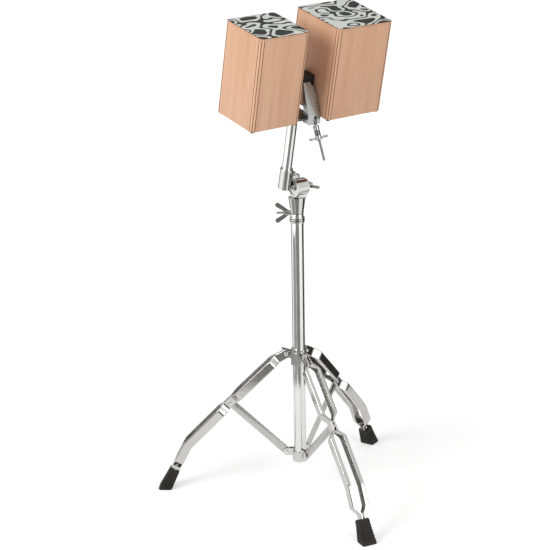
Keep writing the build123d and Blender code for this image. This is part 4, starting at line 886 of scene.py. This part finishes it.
fit(nut_collar, dark_zinc, "jaw_nut", "chrome_casting", "jaw_nut")

# ================= drums =================
# Two square boxes of 9 mm beech board, open below, glued to grooved corner posts and closed
# by a thin printed playing board. A black block bolted between them joins the pair.

DRUM_BOTTOM = 0.171
DRUM_HEIGHT = 0.209
DRUM_BACK = 0.036
GAP_LEFT = -0.040
GAP_RIGHT = 0.0286
DRUMS = {"small_drum": (GAP_LEFT, -1, 0.1276), "large_drum": (GAP_RIGHT, 1, 0.1504)}
PANEL_THICK = 0.009
POST_SIZE = 0.016
CORNER_RADIUS = 0.009
GROOVE_HALF = 0.0008
GROOVE_ANGLES = (4, 45, 86)
HEAD_THICK = 0.0036
BATTEN = 0.012
BOARD_EDGE = 0.0004
DRUM_FOOT_RADIUS = 0.005
DRUM_FOOT_HEIGHT = 0.0034
PAD_ROUND = 0.001
BATTEN_EDGE = 0.0008
BATTEN_GAP = 0.0006
GLUE_LINE = 0.00005


def head_coordinates(tree, scale):
    """The piece's own place turned back into the drums' leaning frame, then scaled."""
    place = tree.nodes.new("ShaderNodeTexCoord")
    lean_back = tree.nodes.new("ShaderNodeMapping")
    lean_back.inputs["Rotation"].default_value = (-HEAD_LEAN, 0.0, 0.0)
    tree.links.new(place.outputs["Object"], lean_back.inputs["Vector"])
    stretch = tree.nodes.new("ShaderNodeMapping")
    stretch.inputs["Scale"].default_value = scale
    tree.links.new(lean_back.outputs["Vector"], stretch.inputs["Vector"])
    return stretch.outputs["Vector"]


def noise_of(tree, scale, detail, rough=0.55):
    """The value of a noise in the drums' frame, stretched by a scale along each axis."""
    noise = tree.nodes.new("ShaderNodeTexNoise")
    noise.inputs["Scale"].default_value = 1.0
    noise.inputs["Detail"].default_value = detail
    noise.inputs["Roughness"].default_value = rough
    tree.links.new(head_coordinates(tree, scale), noise.inputs["Vector"])
    return noise.outputs["Fac"]


def ramp_of(tree, value, *stops):
    """A colour ramp over a value, with stops of (position, colour)."""
    ramp = tree.nodes.new("ShaderNodeValToRGB")
    while len(ramp.color_ramp.elements) < len(stops):
        ramp.color_ramp.elements.new(0.5)
    for element, (position, colour) in zip(ramp.color_ramp.elements, stops):
        element.position = position
        element.color = (*colour, 1.0)
    tree.links.new(value, ramp.inputs["Fac"])
    return ramp.outputs["Color"]


def tinted(tree, first, second, share, blend="MULTIPLY"):
    """Two colours mixed by a share, which is a number or a socket."""
    mix = tree.nodes.new("ShaderNodeMix")
    mix.data_type = "RGBA"
    mix.blend_type = blend
    tree.links.new(first, mix.inputs["A"])
    tree.links.new(second, mix.inputs["B"])
    if isinstance(share, float):
        mix.inputs["Factor"].default_value = share
    else:
        tree.links.new(share, mix.inputs["Factor"])
    return mix.outputs["Result"]


def beech_colour(tree, pale, deep):
    """Beech along the drums' height: broad bands between two tones, fine upright streaks,
    and short dark flecks where a stretched noise is at its highest."""
    bands = noise_of(tree, (30, 30, 1.6), 3.0)
    base = ramp_of(tree, bands, (0.30, deep), (0.70, pale))
    streaks = noise_of(tree, (420, 420, 5), 4.0, 0.7)
    fine = ramp_of(tree, streaks, (0.36, (0.89, 0.85, 0.81)), (0.62, (1.0, 1.0, 1.0)))
    flecks = noise_of(tree, (1100, 1100, 95), 2.0)
    spots = ramp_of(tree, flecks, (0.60, (1.0, 1.0, 1.0)), (0.74, (0.66, 0.55, 0.47)))
    return tinted(tree, tinted(tree, base, fine, 1.0), spots, 0.8), streaks


def wood(name, pale, deep, roughness, groove_shade_colour=None):
    """Lacquered or raw beech. Where the piece carries the attribute "cut", the depth of its
    grooves, these get painted shade: their colour is darkened with the depth.
    The streaks set its bump and part of its roughness."""
    finish = bpy.data.materials.new(name)
    tree, output = nodes_of(finish)
    body = tree.nodes.new("ShaderNodeBsdfPrincipled")
    colour, streaks = beech_colour(tree, pale, deep)
    if groove_shade_colour:
        # Painted shade in the grooves: the colour darkens towards the groove colour as the depth
        # grows.
        cut = tree.nodes.new("ShaderNodeAttribute")
        cut.attribute_name = "cut"
        groove_shade = ramp_of(tree, cut.outputs["Fac"], (0.0, (1.0, 1.0, 1.0)), (0.25, groove_shade_colour))
        colour = tinted(tree, colour, groove_shade, 1.0)
    tree.links.new(colour, body.inputs["Base Color"])
    rough = tree.nodes.new("ShaderNodeMapRange")
    rough.inputs["To Min"].default_value = roughness - 0.08
    rough.inputs["To Max"].default_value = roughness + 0.10
    tree.links.new(streaks, rough.inputs["Value"])
    tree.links.new(rough.outputs[0], body.inputs["Roughness"])
    bump = tree.nodes.new("ShaderNodeBump")
    bump.inputs["Strength"].default_value = 0.16
    bump.inputs["Distance"].default_value = 0.0003
    tree.links.new(streaks, bump.inputs["Height"])
    tree.links.new(bump.outputs["Normal"], body.inputs["Normal"])
    tree.links.new(body.outputs[0], output.inputs["Surface"])
    return finish


def carry(piece, name, values):
    """Writes one number for each point of a piece as a named attribute."""
    layer = piece.data.attributes.new(name, "FLOAT", "POINT")
    layer.data.foreach_set("value", np.asarray(values, np.float32).ravel())


BEECH_PALE = (0.800, 0.500, 0.330)
BEECH_DEEP = (0.670, 0.385, 0.240)
# Painted shade for the corner posts' grooves: the colour they are darkened to at their deepest.
GROOVE_PAINTED_SHADE = (0.26, 0.14, 0.085)
beech = wood("lacquered_beech", BEECH_PALE, BEECH_DEEP, 0.42, GROOVE_PAINTED_SHADE)
raw_wood = wood("raw_batten", (0.62, 0.45, 0.29), (0.50, 0.35, 0.22), 0.7)


def box_outline(middle_x, middle_y, size_x, size_y):
    """The four corners of a board's cross-section, counter-clockwise."""
    signs = np.array([(-1, -1), (1, -1), (1, 1), (-1, 1)])
    return np.array([middle_x, middle_y]) + signs * np.array([size_x, size_y]) / 2


def post_outline():
    """A corner post from above, with its outer corner at the upper right of its drum's
    middle: a square whose outer arc falls inwards at each groove by the root of the groove's
    radius squared less the distance from its middle squared. Returns the points measured
    from the arc's centre and how deep each lies in a groove."""
    inner = CORNER_RADIUS - POST_SIZE
    angle = np.radians(np.linspace(-3, 93, 241))
    away = CORNER_RADIUS * (angle[:, None] - np.radians(GROOVE_ANGLES))
    depth = np.sqrt(np.clip(GROOVE_HALF ** 2 - away ** 2, 0, None)).max(axis=1)
    reach = CORNER_RADIUS / np.cos(np.clip(np.abs(angle - np.pi / 4) - np.pi / 4, 0, 1))
    arc = (reach - depth)[:, None] * np.column_stack([np.cos(angle), np.sin(angle)])
    inner_corners = [(inner, inner), (CORNER_RADIUS, inner)]
    outline = np.concatenate([inner_corners, arc, [(inner, CORNER_RADIUS)]])
    return outline, np.concatenate([[0, 0], depth / GROOVE_HALF, [0]])


board_low = DRUM_BOTTOM
board_high = DRUM_BOTTOM + DRUM_HEIGHT - HEAD_THICK
drum_middles = {drum: edge + side * width / 2 for drum, (edge, side, width) in DRUMS.items()}
for drum, (_, _, width) in DRUMS.items():
    middle = drum_middles[drum]
    wall = (width - PANEL_THICK) / 2
    span = width - 2 * POST_SIZE
    boards = {
        "front_panel": box_outline(middle, DRUM_BACK - wall, span, PANEL_THICK),
        "back_panel": box_outline(middle, DRUM_BACK + wall, span, PANEL_THICK),
        "left_panel": box_outline(middle - wall, DRUM_BACK, PANEL_THICK, span),
        "right_panel": box_outline(middle + wall, DRUM_BACK, PANEL_THICK, span),
    }
    for board, corners in boards.items():
        outline = rounded(corners, 0.00012, steps=3)
        rows = pressed(outline, board_low, board_high, BOARD_EDGE)
        panel = skin(f"{drum}_{board}_beech", [put(rows, HEAD)])
        fit(panel, beech, "rod_and_drums", "beech_panel", f"{drum}_{board}")

    outline, depth = post_outline()
    arc_from_middle = width / 2 - CORNER_RADIUS
    posts = []
    for quarter in range(4):
        turn = quarter * np.pi / 2
        spin = np.array([[np.cos(turn), np.sin(turn)], [-np.sin(turn), np.cos(turn)]])
        placed = (outline + arc_from_middle) @ spin + (middle, DRUM_BACK)
        posts.append(put(pressed(placed, board_low, board_high, 0.0002), HEAD))
    corner_posts = skin(f"{drum}_grooved_posts", posts)
    # The groove depth, which sets the painted shade in the posts' grooves.
    carry(corner_posts, "cut", np.tile(depth, (4, len(posts[0]), 1)))
    fit(corner_posts, beech, "rod_and_drums", "beech_post", f"{drum}_corner_posts")

    batten_top = board_high - GLUE_LINE
    inside = width / 2 - PANEL_THICK
    battens = []
    for quarter in range(4):
        along_x = quarter % 2 == 0
        length = span if along_x else 2 * inside - 2 * BATTEN - BATTEN_GAP
        turn = quarter * np.pi / 2
        away = inside - BATTEN / 2
        bar = box_outline(
            middle + away * np.sin(turn), DRUM_BACK + away * np.cos(turn),
            length if along_x else BATTEN, BATTEN if along_x else length,
        )
        bar = rounded(bar, BATTEN_EDGE, steps=3)
        rows = pressed(bar, batten_top - BATTEN, batten_top, BATTEN_EDGE)
        battens.append(put(rows, HEAD))
    glued = skin(f"{drum}_glued_battens", battens)
    fit(glued, raw_wood, "rod_and_drums", "plain_batten", f"{drum}_battens")

    foot_turn = np.linspace(0, np.pi / 2, 6)
    foot_profile = np.concatenate([
        [(0.0, DRUM_FOOT_RADIUS)],
        np.column_stack([
            -DRUM_FOOT_HEIGHT + PAD_ROUND * (1 - np.sin(foot_turn[::-1])),
            DRUM_FOOT_RADIUS - PAD_ROUND * (1 - np.cos(foot_turn[::-1])),
        ])[::-1],
    ])
    pads = [
        turned(
            foot_profile,
            put(np.array([middle + i * (width - POST_SIZE) / 2,
                          DRUM_BACK + j * (width - POST_SIZE) / 2, board_low]), HEAD),
            head_up, 28,
        )
        for i in (-1, 1) for j in (-1, 1)
    ]
    fit(skin(f"{drum}_rubber_pads", pads), foot_rubber, "rod_and_drums", "black_rubber",
        f"{drum}_feet")

# The playing boards are thin birch plywood. Their tops carry a printed black and off-white
# abstract of winding islands under lacquer, and their edges show the bare wood.

PRINT_BLACK = (0.012, 0.014, 0.013)
PRINT_WHITE = (0.80, 0.81, 0.76)
PRINT_BORDERS = (0.37, 0.45, 0.515, 0.61)
PRINT_BLEND = 0.004
EDGE_INK = (0.06, 0.055, 0.05)
EDGE_LINE = 0.0014
BOARD_ROUND = 0.0007

head_print = bpy.data.materials.new("printed_birch")
tree, output = nodes_of(head_print)
body = tree.nodes.new("ShaderNodeBsdfPrincipled")
body.inputs["Roughness"].default_value = 0.46
body.inputs["Specular IOR Level"].default_value = 0.1
bare, streaks = beech_colour(tree, BEECH_PALE, BEECH_DEEP)
islands = noise_of(tree, (20, 30, 12), 0.6, 0.3)
stops = [(0.0, PRINT_BLACK)]
for number, border in enumerate(PRINT_BORDERS):
    before, after = (PRINT_BLACK, PRINT_WHITE) if number % 2 == 0 else (PRINT_WHITE, PRINT_BLACK)
    stops += [(border, before), (border + PRINT_BLEND, after)]
black_parts = ramp_of(tree, islands, *stops)
worn = noise_of(tree, (160, 160, 40), 4.0)
wear = ramp_of(tree, worn, (0.35, (0.93, 0.935, 0.93)), (0.65, (1.0, 1.0, 1.0)))
printed = tinted(tree, black_parts, wear, 1.0)
on_top = tree.nodes.new("ShaderNodeAttribute")
on_top.attribute_name = "printed"
edge_line = ramp_of(
    tree, on_top.outputs["Fac"],
    (0.0, (1.0, 1.0, 1.0)), (0.35, EDGE_INK), (0.8, EDGE_INK), (1.0, (1.0, 1.0, 1.0)),
)
top_share = tree.nodes.new("ShaderNodeMath")
top_share.operation = "GREATER_THAN"
top_share.inputs[1].default_value = 0.4
tree.links.new(on_top.outputs["Fac"], top_share.inputs[0])
colour = tinted(tree, bare, printed, top_share.outputs[0], "MIX")
tree.links.new(tinted(tree, colour, edge_line, 1.0), body.inputs["Base Color"])
tree.links.new(body.outputs[0], output.inputs["Surface"])

for drum, (_, _, width) in DRUMS.items():
    corners = box_outline(drum_middles[drum], DRUM_BACK, width, width)
    outline = rounded(corners, CORNER_RADIUS, steps=14)
    rows = pressed(outline, board_high, board_high + HEAD_THICK, BOARD_ROUND)
    last = rows[-1]
    centre = last.mean(axis=0)
    inner = centre + (last - centre) * (1 - 2 * EDGE_LINE / width)
    rows = np.concatenate([rows, [inner]])
    board = skin(f"{drum}_playing_board", [put(rows, HEAD)])
    share = np.zeros(rows.shape[:2])
    share[-3:-1] = 0.5
    share[-1] = 1.0
    carry(board, "printed", share)
    fit(board, head_print, "rod_and_drums", "printed_head", f"{drum}_head")

# The joining block is hardwood painted satin black, with its edges well rounded, and two
# bolts through it and through both drums' facing boards hold the pair together.

BLOCK_LOW = 0.231
BLOCK_HIGH = 0.255
BLOCK_DEPTH = 0.032
BLOCK_ROUND = 0.0015
black_paint = rubber("satin_black_paint", 700.0, (0.016, 0.013, 0.009))
block_corners = box_outline(
    (GAP_LEFT + GAP_RIGHT) / 2, DRUM_BACK, GAP_RIGHT - GAP_LEFT, BLOCK_DEPTH
)
block_outline = rounded(block_corners, BLOCK_ROUND, steps=6)
block_rows = pressed(block_outline, BLOCK_LOW, BLOCK_HIGH, BLOCK_ROUND, 6)
centre_block = skin("centre_block_painted", [put(block_rows, HEAD)])
fit(centre_block, black_paint, "rod_and_drums", "black_block", "centre_block")
